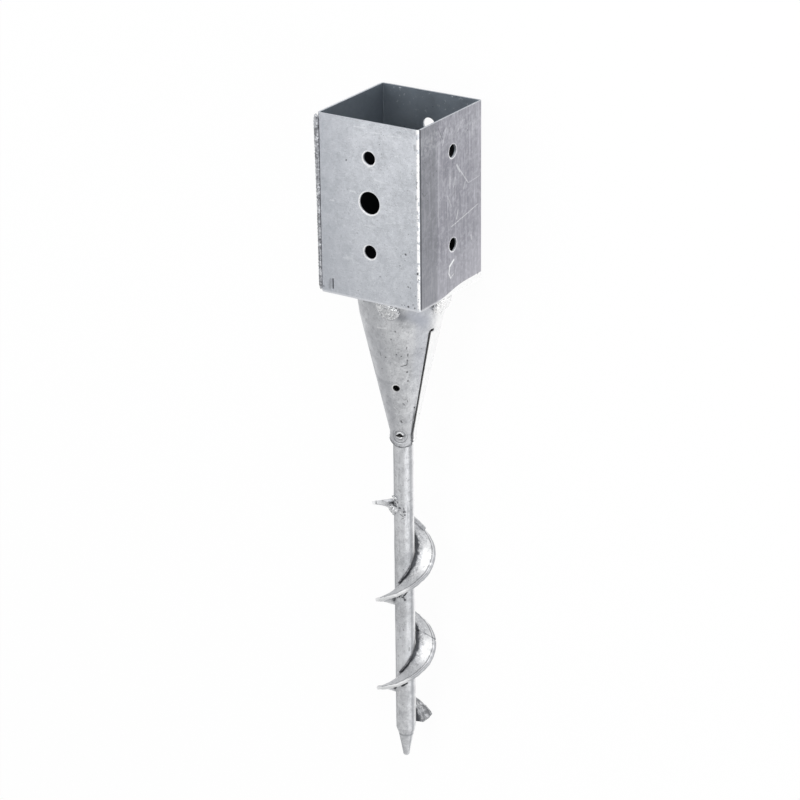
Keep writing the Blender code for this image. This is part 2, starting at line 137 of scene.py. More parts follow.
bar_radius = 0.0085
bar_profile = np.array([[0.0, 0.0006], [0.0004, 0.0017], [0.0014, 0.0026], [0.0225, 0.0064],
                        [0.0285, 0.0085], [0.334, 0.0085], [0.3352, 0.0073]])

blade_thickness = 0.0025
blade_root, blade_rim = 0.0088, 0.0254
blade_dish, start_dish = 0.004, 0.0018
rim_shift, upper_rim_shift, rim_shift_bearing = 0.0007, -0.0012, math.radians(13)
ring_lean, ring_lean_bearing = 0.0018, math.radians(-57)
lower_pitch, middle_pitch, upper_pitch = 0.08279, 0.0857, 0.08914
blade_end_height = 0.0321
upper_start, upper_end = math.radians(218), math.radians(75)
tongue_start, tongue_width = math.radians(128), 0.0032
middle_start = math.radians(126.4)
lap_gap, butt_gap = 0.0006, 0.0006
joint_root, joint_rim = math.radians(-293), math.radians(-321)
lower_end, lower_end_rim = math.radians(-673), math.radians(-656)
print("sleeve is", 2 * sleeve_half, "wide; blades reach", blade_rim)

# %% [markdown]
# Every new piece is a skin: a grid of points worked out as one array, joined by four-sided faces.
# A tube's grid closes on itself in one direction, a ring's in both. Open ends get a pole, so that
# each piece is a closed shell, and a shell whose volume comes out negative is turned round.

# %% From a grid of points to a finished piece
def grid_quads(rows, columns, wrap_rows):
    """Faces of a grid whose columns run round; point (r, c) has the number r * columns + c."""
    r, c = np.meshgrid(np.arange(rows if wrap_rows else rows - 1), np.arange(columns),
                       indexing="ij")
    s, d = (r + 1) % rows, (c + 1) % columns
    corners = [r * columns + c, s * columns + c, s * columns + d, r * columns + d]
    return np.stack(corners, axis=-1).reshape(-1, 4)


def skin(grid, wrap_rows=False):
    """A closed shell from a grid whose columns run round; open rows end in two poles."""
    rows, columns, _ = grid.shape
    points = grid.reshape(-1, 3)
    quads = grid_quads(rows, columns, wrap_rows)
    fans = np.zeros((0, 3), int)
    if not wrap_rows:
        c = np.arange(columns)
        first, last = len(points), len(points) + 1
        low = np.stack([np.full(columns, first), c, (c + 1) % columns], axis=1)
        high = np.stack([np.full(columns, last), (c + 1) % columns, c], axis=1)
        high[:, 1:] += (rows - 1) * columns
        points = np.concatenate([points, grid[:1].mean(axis=1), grid[-1:].mean(axis=1)])
        fans = np.concatenate([low, high])
    triangles = np.concatenate([quads[:, [0, 1, 2]], quads[:, [0, 2, 3]], fans])
    a, b, c = (points[triangles[:, i]] for i in range(3))
    if np.einsum("ij,ij->i", a, np.cross(b, c)).sum() < 0:
        quads, fans = quads[:, ::-1], fans[:, ::-1]
    return points, quads.tolist() + fans.tolist()


def finish_piece(name, mesh, material, nodes, sharp=35.0):
    """Shades a mesh smooth up to an angle, gives it its finish and lets it ride on the screw."""
    mesh.shade_smooth()
    mesh.set_sharp_from_angle(angle=math.radians(sharp))
    mesh.materials.clear()
    mesh.materials.append(material)
    piece = bpy.data.objects.new(name, mesh)
    bpy.context.scene.collection.objects.link(piece)
    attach(piece, "root")
    if nodes:
        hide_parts(*nodes)
    print(name, "has", len(mesh.vertices), "points")
    return piece


def new_piece(name, shell, material, nodes=(), sharp=35.0):
    """A piece from points of the upright screw and their faces."""
    points, faces = shell
    mesh = bpy.data.meshes.new(name)
    mesh.from_pydata(laid(points), [], faces)
    finish_piece(name, mesh, material, nodes, sharp)


def dressed_copy(name, node, material):
    """A CAD node as a merged copy with even shading; flat faces keep their flat light."""
    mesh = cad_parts[node].data.copy()
    mesh.name = name
    work = bmesh.new()
    work.from_mesh(mesh)
    bmesh.ops.remove_doubles(work, verts=work.verts, dist=0.000002)
    work.to_mesh(mesh)
    work.free()
    if "custom_normal" in mesh.attributes:
        mesh.attributes.remove(mesh.attributes["custom_normal"])
    piece = finish_piece(name, mesh, material, [node])
    weighted = piece.modifiers.new("flat_faces_first", "WEIGHTED_NORMAL")
    weighted.keep_sharp = True
    return piece


# %% [markdown]
# Nothing that came out of a zinc bath is perfectly even. A sum of a dozen waves that run in
# fixed, mixed directions gives every surface the same unevenness each time the lesson runs.

# %% Unevenness
def uneven(points, size, seed):
    """A smooth random height at each point, about -1 to 1, with bumps about size across."""
    wave_count = 12
    draw = np.random.default_rng(seed)
    directions = draw.normal(size=(wave_count, 3))
    directions /= np.linalg.norm(directions, axis=1)[:, None]
    lengths = size * draw.uniform(0.7, 1.6, wave_count)
    phases = draw.uniform(0, 2 * math.pi, wave_count)
    waves = np.sin(2 * math.pi * (points @ directions.T) / lengths + phases)
    return waves.sum(axis=-1) / math.sqrt(wave_count / 2) / 1.6


def full_turn(steps):
    """Evenly spaced angles round a circle."""
    return np.linspace(0, 2 * math.pi, steps, endpoint=False)


def around(bearing, radius, height):
    """Points at a bearing, a radius and a height about the screw's axis."""
    bearing, radius, height = np.broadcast_arrays(bearing, radius, height)
    return np.stack([radius * np.cos(bearing), radius * np.sin(bearing), height], axis=-1)


# %% [markdown]
# All finishes are made from noise in the screw's own coordinates: a Mapping node undoes the lying
# down, so a streak that runs up the sleeve on the real screw runs up it here. Light and dark marks
# that sit at one place are small soft strokes and specks, listed by where they are.

# %% Node helpers
white = (1.0, 1.0, 1.0)


def add_node(tree, kind, inputs=None, **settings):
    """Adds a shader node; sockets given as inputs are linked, and plain values are set."""
    made = tree.nodes.new("ShaderNode" + kind)
    for key, value in settings.items():
        setattr(made, key, value)
    for key, value in (inputs or {}).items():
        if isinstance(value, bpy.types.NodeSocket):
            tree.links.new(value, made.inputs[key])
        else:
            made.inputs[key].default_value = value if np.isscalar(value) else list(value)
    return made


def upright_place(tree):
    """Object coordinates turned back to the upright screw: turn transposed times (p - tip)."""
    source = add_node(tree, "TexCoord").outputs["Object"]
    undo = Matrix([list(row) for row in turn.T])
    return add_node(tree, "Mapping", {"Vector": source, "Rotation": undo.to_euler(),
                                      "Location": -(turn.T @ tip)}).outputs[0]


def maths(operation, first, second=0.0, third=0.0):
    """A sum, product or the like of values, in the node tree that the first one belongs to."""
    return add_node(first.id_data, "Math", {0: first, 1: second, 2: third},
                    operation=operation).outputs[0]


def times(first, *others):
    """The product of two or more values."""
    for other in others:
        first = maths("MULTIPLY", first, other)
    return first


def strongest(values):
    """The greatest of several values, each compared as it is made."""
    values = iter(values)
    total = next(values)
    for value in values:
        total = maths("MAXIMUM", total, value)
    return total


def vectors(operation, first, second=(0, 0, 0)):
    """The like for vectors. A length or a dot product comes out as a value."""
    made = add_node(first.id_data, "VectorMath", {0: first, 1: second}, operation=operation)
    return made.outputs["Value" if operation in ("LENGTH", "DOT_PRODUCT") else "Vector"]


def between(value, low, high, to_low=0.0, to_high=1.0):
    """A value's place between low and high, eased at both ends. The easing stops there by itself,
    so the node's own clamp is off: it would only make a long material need more room."""
    return add_node(value.id_data, "MapRange",
                    {"Value": value, "From Min": low, "From Max": high, "To Min": to_low,
                     "To Max": to_high}, interpolation_type="SMOOTHSTEP", clamp=False).outputs[0]


def clamped(value):
    """A value held between 0 and 1."""
    return add_node(value.id_data, "Clamp", {"Value": value}).outputs[0]


def clouds(place, scale, detail=4.0, roughness=0.55, stretch=(1, 1, 1), warp=0.0):
    """Noise with its bumps drawn out along the axes where stretch is small."""
    tree = place.id_data
    stretched = add_node(tree, "Mapping", {"Vector": place, "Scale": stretch}).outputs[0]
    return add_node(tree, "TexNoise", {"Vector": stretched, "Scale": scale, "Detail": detail,
                                       "Roughness": roughness,
                                       "Distortion": warp}).outputs["Fac"]


def tint(below, above, amount):
    """Mixes two colours by an amount."""
    below, above = (colour if isinstance(colour, bpy.types.NodeSocket) else (*colour, 1.0)
                    for colour in (below, above))
    return add_node(amount.id_data, "Mix", {0: amount, 6: below, 7: above},
                    data_type="RGBA").outputs[2]


def marks(place, rows, soft=0.45):
    """1 on any stroke or speck, 0 off it. A stroke is a row (x, y, z, x, y, z, half width,
    strength) in mm: the distance to the segment from its first point to its second is compared
    with the half width. A speck is a row with one point."""
    tree = place.id_data
    wobble = add_node(tree, "TexNoise", {"Vector": place, "Scale": 800.0, "Detail": 2.0})
    shaken = vectors("SUBTRACT", wobble.outputs["Color"], (0.5, 0.5, 0.5))
    shaken = add_node(tree, "VectorMath", {0: shaken, 1: (0.0012, 0.0012, 0.0012), 2: place},
                      operation="MULTIPLY_ADD").outputs[0]

    def stroke(*ends, half, strength):
        first, second = np.array(ends[:3]) / 1000, np.array(ends[-3:]) / 1000
        run, half = second - first, half / 1000
        off = vectors("SUBTRACT", shaken, first)
        if run.any():
            along = clamped(vectors("DOT_PRODUCT", off, run / (run @ run)))
            stride = add_node(tree, "VectorMath", {0: run, "Scale": along},
                              operation="SCALE").outputs[0]
            off = vectors("SUBTRACT", off, stride)
        return between(vectors("LENGTH", off), half * (1 + soft), half * (1 - soft), 0.0,
                       strength)

    return strongest(stroke(*ends, half=half, strength=strength)
                     for *ends, half, strength in rows)


def rims(place, rows):
    """1 in a ring round each centre, weaker on the side that faces away from lit, so that the
    ring's strength is painted light. A row is a centre, a mask that is 0 along the hole's axis,
    the direction lit, a radius and a width."""
    def ring(centre, mask, lit, radius, width):
        off = vectors("MULTIPLY", vectors("SUBTRACT", place, centre), mask)
        far, toward = vectors("LENGTH", off), vectors("DOT_PRODUCT", off, lit)
        return times(between(far, radius + width, radius + 0.5 * width),
                     between(toward, -0.9 * radius, 0.4 * radius, 0.15, 1.0),
                     between(far, radius - 0.5 * width, radius))

    return strongest(ring(*row) for row in rows)


def cylindrical(place):
    """A place's bearing about the screw's axis, its distance from the axis and its height."""
    x, y, z = add_node(place.id_data, "SeparateXYZ", {0: place}).outputs
    return maths("ARCTAN2", y, x), vectors("LENGTH", vectors("MULTIPLY", place, (1, 1, 0))), z


def turn_band(bearing, low, high, soft=5.0):
    """1 between two bearings about the axis, in degrees, eased over soft degrees."""
    low, high, soft = np.radians([low, high, soft])
    return times(between(bearing, low - soft, low + soft),
                 between(bearing, high + soft, high - soft))


# %% [markdown]
# The real finish is a zinc skin from a hot bath. It has cloudy patches a centimetre wide, a fine
# grain, faint brushed streaks, and dark specks where dross stuck. A painter would lay it on in
# glazes, and so do we: each layer of noise tints what lies below it, and then come the areas of a
# piece, one by one, each as a mask, a shade and an amount.

# %% Galvanised steel
def zinc(name, dull, pale, grain=0.1, cloud_scale=70.0, streak=(1, 1, 1), streak_amount=0.0,
         mottle=0.3, rough=(0.36, 0.56), bump=0.35, specks=0.6, areas=None, dark=(), bright=()):
    """Zinc skin: clouds between a dull and a pale grey, grain, streaks, specks and marks."""
    material = bpy.data.materials.new(name)
    material.use_nodes = True
    tree = material.node_tree
    shader = tree.nodes["Principled BSDF"]
    place, dull = upright_place(tree), np.array(dull)
    cloud = clouds(place, cloud_scale, 6.0, 0.62, warp=0.4)
    colour = tint(dull, pale, between(cloud, 0.34, 0.66))
    patch = clouds(place, 300.0, 4.0, 0.65, warp=0.6)
    colour = tint(colour, dull * 0.6, between(patch, 0.5, 0.28, 0.0, mottle))
    colour = tint(colour, (0.9, 0.92, 0.94), between(patch, 0.52, 0.74, 0.0, mottle))
    fine = clouds(place, 1100.0, 3.0, 0.6)
    colour = tint(colour, dull * 0.45, between(fine, 0.44, 0.22, 0.0, grain * 5))
    colour = tint(colour, (0.86, 0.88, 0.9), between(fine, 0.58, 0.78, 0.0, grain * 4))
    if streak_amount:
        line = clouds(place, 1.0, 4.0, 0.6, streak)
        colour = tint(colour, (0.84, 0.86, 0.89), between(line, 0.56, 0.74, 0.0, streak_amount))
        colour = tint(colour, dull * 0.5, between(line, 0.42, 0.26, 0.0, streak_amount * 0.8))
    for area, shade, amount in (areas(place) if areas else ()):
        colour = tint(colour, shade, times(area, amount))
    cell = add_node(tree, "TexVoronoi", {"Vector": place, "Scale": 210.0}).outputs["Distance"]
    rare = between(clouds(place, 95.0, 1.0), 0.6, 0.68)
    colour = tint(colour, (0.05, 0.055, 0.06), times(between(cell, 0.17, 0.08), rare, specks))
    if bright:
        colour = tint(colour, (0.93, 0.94, 0.95), marks(place, bright))
    if dark:
        colour = tint(colour, (0.035, 0.038, 0.042), marks(place, dark))
    height = maths("MULTIPLY_ADD", fine, 0.35, cloud)
    bumped = add_node(tree, "Bump", {"Height": height, "Strength": bump, "Distance": 0.0006})
    tree.links.new(colour, shader.inputs["Base Color"])
    tree.links.new(between(cloud, 0.3, 0.7, rough[1], rough[0]), shader.inputs["Roughness"])
    tree.links.new(bumped.outputs[0], shader.inputs["Normal"])
    shader.inputs["Metallic"].default_value = 0.62
    print("finish", name, "has", len(tree.nodes), "nodes")
    return material


# %% [markdown]
# The sleeve is one folded sheet. Outside it is pale and cloudy; inside, where little light comes,
# it is painted darker and bluer as shade, and its right side is painted darker than its front,
# partly as a duller tone and partly as painted shade. The fold between them carries a painted
# highlight, with a line of painted shade beside it.

# %% Sleeve finish
def sleeve_areas(place):
    """Areas of the sleeve: its right side, darker partly as painted shade, with bands and mottle,
    the band under the rim, painted shade on the front's left and towards its foot, a painted
    highlight on the fold with painted shade beside it, painted shade inside, the holes' rims with
    a painted highlight on their lit side and a painted highlight along the right side's lower
    edge."""
    x, y, z = add_node(place.id_data, "SeparateXYZ", {0: place}).outputs
    side, front = between(x, 0.0471, 0.0474), between(y, -0.0466, -0.0472)
    bands = clouds(place, 1.0, 3.0, 0.6, (1, 260, 14))
    lit_bands = clouds(place, 1.0, 4.0, 0.65, (1, 420, 30))
    mottled = clouds(place, 260.0, 4.0, 0.7)
    # Painted shade: the right side is darkened, partly for a duller tone and partly for the shade
    # it stands in.
    yield side, (0.27, 0.265, 0.305), 0.8
    yield times(side, between(bands, 0.4, 0.62)), (0.14, 0.14, 0.165), 0.32
    yield times(side, between(lit_bands, 0.5, 0.7)), (0.6, 0.595, 0.66), 0.4
    yield times(side, between(mottled, 0.45, 0.65)), (0.54, 0.535, 0.59), 0.45
    yield times(side, between(z, 0.486, 0.442)), (0.66, 0.655, 0.7), 0.22
    yield times(side, between(y, 0.018, 0.047)), (0.66, 0.655, 0.7), 0.16
    yield times(side, between(y, -0.0185, -0.0235)), (0.17, 0.18, 0.195), 0.45

    ragged = clouds(place, 330.0, 3.0)
    rim_band = times(between(z, 0.556, 0.566), between(z, 0.583, 0.575))
    yield times(rim_band, between(ragged, 0.42, 0.6)), (0.66, 0.67, 0.71), 0.25
    # Painted shade: the front is darkened towards its left and towards its foot.
    yield times(front, between(x, 0.006, -0.046)), (0.33, 0.35, 0.39), 0.42
    yield times(front, between(z, 0.52, 0.44)), (0.38, 0.4, 0.44), 0.15

    diagonal = maths("ADD", x, y)
    fold = times(between(x, 0.044, 0.0446), between(y, -0.044, -0.0446))
    rubbed = times(between(diagonal, -0.0026, -0.0018), between(diagonal, 0.001, 0.0002))
    # Painted highlight along the fold.
    yield times(rubbed, between(ragged, 0.4, 0.52), fold), white, 0.95
    # Painted shade: a dark line on the right side beside the fold.
    yield times(between(diagonal, 0.0008, 0.0016), fold), (0.06, 0.063, 0.075), 0.85
    yield between(z, 0.4372, 0.4358), (0.7, 0.71, 0.74), 0.6

    inside = between(maths("MAXIMUM", maths("ABSOLUTE", x), maths("ABSOLUTE", y)), 0.0464, 0.0457)
    back_rim = times(between(z, 0.56, 0.58), inside, between(y, 0.044, 0.045))
    # Painted shade: the inside is darkened and blued.
    yield inside, (0.19, 0.23, 0.275), 0.85
    yield times(between(ragged, 0.62, 0.7), back_rim), (0.75, 0.8, 0.85), 0.7

    # Painted highlight: the white rings round the holes are zinc rims, brightened on their lit
    # side.
    front_rings = rims(place, [
        ((front_hole_shift, 0, height), (1, 0, 1), (-0.7, 0, -0.7), radius, width)
        for height, radius, width in ((upper_hole, bolt_hole_radius, 0.0013),
                                      (bar_hole, bar_hole_radius, 0.0014),
                                      (lower_hole, bolt_hole_radius, 0.0013))])
    yield times(front_rings, front), white, 0.8
    side_rings = rims(place, [
        ((0, side_hole_shift, height), (0, 1, 1), (0, 0.7, -0.7), bolt_hole_radius, 0.0011)
        for height in (upper_hole, lower_hole)])
    yield times(side_rings, side), (0.9, 0.9, 0.95), 0.6
    # Painted shade: lower down, the inside is painted near black.
    yield times(inside, between(z, 0.549, 0.543)), (0.004, 0.004, 0.005), 0.97
    # Painted highlight: a band along the right side's lower edge, higher towards the back, is
    # painted white for glare.
    over_edge = maths("SUBTRACT", z, between(y, -0.026, 0.02, 0.0, 0.0053))
    yield times(side, between(over_edge, 0.4356, 0.4348)), white, 0.97


def on_wall(rows, lift, weight):
    """Strokes and specks on a wall of the sleeve. Their points are listed by two numbers in mm,
    and lift says which point in space that is."""
    return [(*(value for pair in zip(ends[::2], ends[1::2]) for value in lift(*pair)), half,
             weight * strength) for *ends, half, strength in rows]


def on_front(x, z):
    return x, -1000 * sleeve_half, z


def on_right(y, z):
    return 1000 * sleeve_half, y, z


front_dark = [
    (-20.1, 550.1, 0.75, 0.9), (11.0, 568.2, 0.5, 0.8), (-10.9, 490.9, 0.5, 0.8),
    (37.5, 498.8, 0.45, 0.7), (34.6, 481.4, 0.9, 0.9), (38.1, 484.1, 0.35, 0.7),
    (41.4, 484.9, 0.35, 0.6), (30.2, 478.6, 0.4, 0.6), (34.0, 476.3, 0.5, 0.6),
    (10.2, 458.3, 0.6, 0.7), (36.7, 454.6, 0.7, 0.8), (30.6, 438.3, 0.5, 0.8),
    (33.3, 438.3, 0.5, 0.8), (36.8, 437.9, 0.9, 1.0), (41.2, 440.4, 0.5, 0.8),
    (42.6, 437.7, 0.7, 0.8), (43.6, 448.2, 0.5, 0.7), (45.5, 467.2, 1.0, 1.0),
    (46.2, 462.4, 0.6, 0.9), (47.2, 457.4, 0.6, 0.8), (45.0, 544.5, 45.0, 541.4, 0.35, 0.6),
    (45.2, 539.9, 45.2, 537.7, 0.35, 0.7), (44.7, 532.1, 44.7, 528.5, 0.35, 0.6),
    (43.6, 572.7, 43.9, 569.2, 1.0, 0.35), (-37.2, 446.2, -38.0, 439.6, 1.3, 0.3),
    (-44.0, 439.7, 0.8, 0.6)]
front_bright = [
    (-12.5, 579.1, -2.0, 579.3, 0.5, 0.5), (2.7, 576.5, 12.0, 577.0, 0.5, 0.5),
    (18.9, 576.2, 30.4, 577.1, 0.5, 0.45), (-0.2, 547.4, 6.9, 547.1, 0.6, 0.45),
    (-17.0, 525.3, -12.3, 525.1, 0.8, 0.5), (-36.3, 514.1, -32.7, 514.2, 0.6, 0.5),
    (-3.3, 499.1, 6.1, 499.3, 0.6, 0.4), (16.8, 504.4, 21.4, 504.7, 0.5, 0.4),
    (-24.1, 467.9, -15.7, 468.4, 0.8, 0.35), (6.7, 538.3, 18.4, 537.2, 0.4, 0.4)]
right_dark = [
    (-19.1, 579.2, -12.4, 568.7, 0.45, 0.7), (-10.0, 577.2, -15.6, 569.0, 0.4, 0.6),
    (-3.1, 575.8, -2.1, 571.9, 0.6, 0.6), (-38.5, 557.1, 0.6, 0.7), (-27.3, 551.9, 0.6, 0.7),
    (-26.6, 543.0, 0.5, 0.6), (-42.5, 532.7, -40.3, 529.7, 0.4, 0.8),
    (-40.3, 529.7, -35.9, 531.0, 0.35, 0.7), (-36.9, 540.3, -33.3, 537.2, 0.5, 0.4),
    (3.7, 538.9, 3.7, 533.7, 1.2, 0.3), (9.3, 523.8, -0.2, 516.1, 1.0, 0.25),
    (5.5, 511.3, 2.6, 500.6, 1.0, 0.3), (1.9, 546.1, 0.8, 0.5), (38.8, 469.4, 0.6, 0.5),
    (5.2, 458.6, 3.6, 450.5, 0.6, 0.45)]
right_bright = [
    (8.4, 541.7, 13.1, 535.2, 1.0, 0.8), (13.1, 536.2, 25.4, 522.2, 0.5, 0.7),
    (20.6, 524.1, 18.7, 518.9, 0.5, 0.6), (26.3, 521.9, 43.6, 523.3, 0.3, 0.6),
    (-1.9, 534.3, -2.3, 525.6, 0.7, 0.6), (5.9, 532.0, 3.6, 524.9, 0.6, 0.5),
    (-5.7, 519.8, -0.2, 509.8, 0.5, 0.5), (10.1, 503.6, 7.7, 497.0, 0.6, 0.8),
    (-0.3, 492.5, 40.7, 499.8, 0.35, 0.95), (29.7, 476.5, 30.5, 473.1, 1.0, 0.6),
    (3.4, 463.6, -2.7, 460.0, 0.9, 1.6), (-2.7, 460.0, -3.9, 454.0, 0.7, 1.5),
    (-3.9, 454.0, -1.5, 449.5, 0.6, 1.4), (-1.5, 449.5, 3.4, 451.6, 0.45, 1.0),
    (-18.3, 566.7, -19.9, 498.0, 0.45, 0.35), (32.1, 570.3, 31.1, 558.2, 0.5, 0.4),
    (-7.2, 576.9, -12.5, 564.1, 0.7, 0.4), (17.0, 576.5, 9.5, 569.3, 0.7, 0.35)]
sleeve_dark = on_wall(front_dark, on_front, 0.9) + on_wall(right_dark, on_right, 0.6)
sleeve_bright = on_wall(front_bright, on_front, 0.45) + on_wall(right_bright, on_right, 0.55)
sleeve_zinc = zinc("sleeve_zinc", (0.5, 0.52, 0.555), (0.585, 0.605, 0.645), grain=0.2,
                   cloud_scale=75.0, streak=(150, 150, 1200), streak_amount=0.45, mottle=0.3,
                   areas=sleeve_areas, dark=sleeve_dark, bright=sleeve_bright)
# Painted shade: the base plate under the sleeve's edge gets a dark zinc for the shadow it lies in.
plate_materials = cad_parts["base_plate"].data.materials
plate_materials.clear()
plate_materials.append(zinc("plate_shaded_zinc", (0.12, 0.13, 0.145), (0.2, 0.21, 0.23), grain=0.05))
dressed_copy("sleeve", "post_sleeve", sleeve_zinc)

# %% [markdown]
# The cone keeps its rolled shape. Its skin carries painted shade on the left, where it turns from
# the light, painted shadow along the slit, and a painted highlight past it, where glare hides it.
# The press that closed the collar on the bar left its end a little higher at two sides.

# %% Cone
plug_centre = around(plug_bearing, collar_radius, cone_low + plug_rise)
hole_centre = around(plug_bearing, cone_hole_out, cone_low + cone_hole_rise)


def cone_areas(place):
    """Areas of the cone: dents and drawn lines, painted shadow under the sleeve, some of it
    bluish, painted shade on the left side and in a bluish band beside the slit, the collar and its
    crease, painted shadow along the slit's edge, rings of zinc at the holes, a painted highlight
    past and above the slit, and painted shade inside."""
    bearing, out, z = cylindrical(place)
    ragged = clouds(place, 240.0, 4.0, 0.7)
    drawn = clouds(place, 1.0, 4.0, 0.65, (420, 420, 60))
    yield between(ragged, 0.44, 0.3), (0.28, 0.29, 0.31), 0.45
    yield between(ragged, 0.54, 0.7), (0.92, 0.93, 0.95), 0.45
    yield between(drawn, 0.46, 0.3), (0.34, 0.35, 0.37), 0.35

    # Painted shadow under the sleeve: a bluish patch and darker smudges on the cone's top.
    bluish_shadow_marks = [(25, -26, 421, 32, -16, 413, 4.5, 0.75)]
    sleeve_shadow_marks = [(13, -33.6, 424, 20, -30.3, 419, 4.0, 0.65), (15, -34, 432, 27, -25.5, 431, 3.0, 0.7)]
    yield marks(place, bluish_shadow_marks, 0.9), (0.4, 0.42, 0.48), 0.8
    yield marks(place, sleeve_shadow_marks, 0.9), (0.22, 0.23, 0.26), 1.0
    # Painted shade: the left side, turned from the light, darker still at its far left edge.
    left = times(turn_band(bearing, -175, -84, 9.0), between(z, 0.425, 0.385, 0.6, 1.0))
    yield left, (0.36, 0.37, 0.4), 0.42
    yield turn_band(bearing, -175, -137, 4.0), (0.2, 0.21, 0.23), 0.6
    # Painted shade: a bluish band left of the slit.
    slit_side_shade = times(turn_band(bearing, -38, -16, 6.0), between(z, 0.34, 0.385))
    yield slit_side_shade, (0.42, 0.44, 0.5), 0.4

    over_end = maths("SUBTRACT", z, cone_low)
    crease = times(between(over_end, 0.0108, 0.0116), between(over_end, 0.013, 0.0122))
    yield between(over_end, 0.0125, 0.0105), (0.4, 0.41, 0.43), 0.35
    yield crease, (0.25, 0.26, 0.28), 0.3

    # Painted shadow along the slit's edge, ragged, and wider low down.
    slit_shadow_low = times(turn_band(bearing, -24, -12.8, 2.5), between(z, 0.345, 0.315))
    slit_shadow = maths("MAXIMUM", turn_band(bearing, -16.5, -12.8, 1.0), slit_shadow_low)
    shadow_breaks = between(clouds(place, 380.0, 3.0, 0.7), 0.3, 0.48)
    yield times(slit_shadow, between(z, 0.4025, 0.401), shadow_breaks), (0.05, 0.053, 0.06), 0.85

    all_ways, ring_width = (1, 1, 1), 0.0007
    arcs = rims(place, [(plug_centre, all_ways, (0, 0, 1), 0.0044, ring_width),
                        (plug_centre, all_ways, (-0.4, 0, -1), 0.0062, ring_width)])
    # Painted highlight on the lit side of the white ring round the cone's hole.
    hole_ring = rims(place, [(hole_centre, all_ways, (-0.8, 0, 0.5), 0.003, 0.0011)])
    yield arcs, (0.12, 0.125, 0.14), 0.6
    yield hole_ring, white, 0.8

    # Painted highlight: the cone past and above the slit is painted white for glare.
    glare_past_slit = times(turn_band(bearing, -12.5, 120, 0.8), between(z, 0.402, 0.4))
    glare_above_slit = times(turn_band(bearing, -6, 120, 10.0), between(z, 0.4, 0.402))
    yield glare_past_slit, white, 0.97
    yield glare_above_slit, white, 0.95

    # Painted shade: the cone's inner face, found from its wall, is painted near black.
    (low, low_radius), (high, high_radius) = cone_profile[1:3]
    slope = (high_radius - low_radius) / (high - low)
    wall = maths("MULTIPLY_ADD", z, slope, low_radius - slope * low)
    hollow = between(maths("SUBTRACT", out, wall), -0.001, -0.0014)
    yield times(hollow, between(z, 0.416, 0.412)), (0.006, 0.006, 0.007), 0.97


# Painted shade: the first dark mark fills the cone's hole.
hole_depth = 1000 * around(plug_bearing, cone_hole_out - 0.0026, cone_low + cone_hole_rise)
cone_dark = [
    (*hole_depth, 2.9, 1.0), (19.3, -23.1, 391.7, 18.9, -23.0, 389.8, 0.4, 0.7),
    (19.1, -21.3, 385.0, 18.8, -21.2, 382.6, 0.45, 0.8),
    (18.0, -20.8, 379.4, 17.1, -20.0, 374.5, 0.4, 0.8),
    (17.1, -20.0, 374.5, 13.0, -22.5, 373.2, 0.45, 0.8), (16.3, -18.7, 367.7, 0.8, 1.0),
    (15.7, -16.5, 359.0, 0.7, 0.9), (15.4, -6.6, 331.9, 0.8, 1.0),
    (6.1, -12.7, 320.0, 6.6, -12.3, 318.6, 0.55, 0.9), (8.8, -30.4, 398.5, 0.6, 0.7),
    (-3.4, -28.3, 384.4, -3.0, -27.5, 381.2, 0.4, 0.6), (-4.1, -24.6, 368.5, 0.55, 0.6),
    (10.4, -15.0, 341.0, 12.6, -13.8, 341.4, 0.35, 0.6),
    (12.6, -13.8, 341.4, 13.0, -12.8, 338.4, 0.35, 0.6),
    (9.6, -15.0, 337.5, 10.9, -13.8, 335.2, 0.35, 0.6),
    (13.6, -17.8, 362.0, 14.4, -16.6, 358.0, 0.35, 0.4),
    (9.0, -13.0, 331.0, 9.8, -12.0, 328.0, 0.3, 0.4)]
cone_bright = [
    (-2.0, -33.5, 408.0, 6.0, -33.0, 408.5, 0.8, 0.4),
    (20.0, -26.5, 405.0, 23.0, -22.0, 402.0, 1.2, 0.35),
    (10.0, -27.0, 388.0, 13.5, -25.5, 388.0, 0.6, 0.4),
    (4.0, -24.0, 362.0, 6.5, -23.0, 361.0, 0.6, 0.4),
    (8.6, -14.8, 343.2, 11.6, -13.8, 343.6, 0.35, 0.5),
    (2.0, -17.0, 333.0, 4.0, -16.5, 331.0, 0.5, 0.4)]
cone_zinc = zinc("cone_zinc", (0.52, 0.53, 0.55), (0.72, 0.73, 0.75), grain=0.16, mottle=0.45,
                 cloud_scale=60.0, rough=(0.34, 0.5), specks=0.9, areas=cone_areas,
                 dark=cone_dark, bright=cone_bright)
cone_skin = dressed_copy("cone_skin", "cone", cone_zinc)


def collar_lift(bearing):
    """The collar was pressed in at two sides: its end stands higher there than at the front."""
    return collar_press * np.sin(bearing - collar_front) ** 2


upright = (mesh_points(cone_skin) - tip) @ turn
low_end = upright[:, 2] < cone_low + 0.001
bearing = np.arctan2(upright[:, 1], upright[:, 0])
upright[:, 2] += np.where(low_end, collar_lift(bearing), 0.0)
cone_skin.data.vertices.foreach_set("co", (tip + upright @ turn.T).ravel())
print("collar's end", int(low_end.sum()), "corners moved")

# %% [markdown]
# The bar is a profile turned about the axis. Forging drew its end out in two tapers and left faint
# hammer flats, which the turned shape leaves out, and the zinc lies on it a few hundredths of a
# millimetre uneven.

# %% Bar
def turned(profile, steps, rows, unevenness, seed):
    """Grid of a turned shape: at height z and bearing b the point is (r(z) cos b, r(z) sin b, z),
    with r read from the profile and raised by a little unevenness."""
    heights = np.unique(np.concatenate([profile[:, 0],
                                        np.linspace(profile[0, 0], profile[-1, 0], rows)]))
    radius = np.interp(heights, profile[:, 0], profile[:, 1])[:, None]
    bearing = full_turn(steps)[None, :]
    grid = around(bearing, radius, heights[:, None])
    radius = radius * (1 + unevenness * uneven(grid, 0.02, seed))
    return around(bearing, radius, heights[:, None])


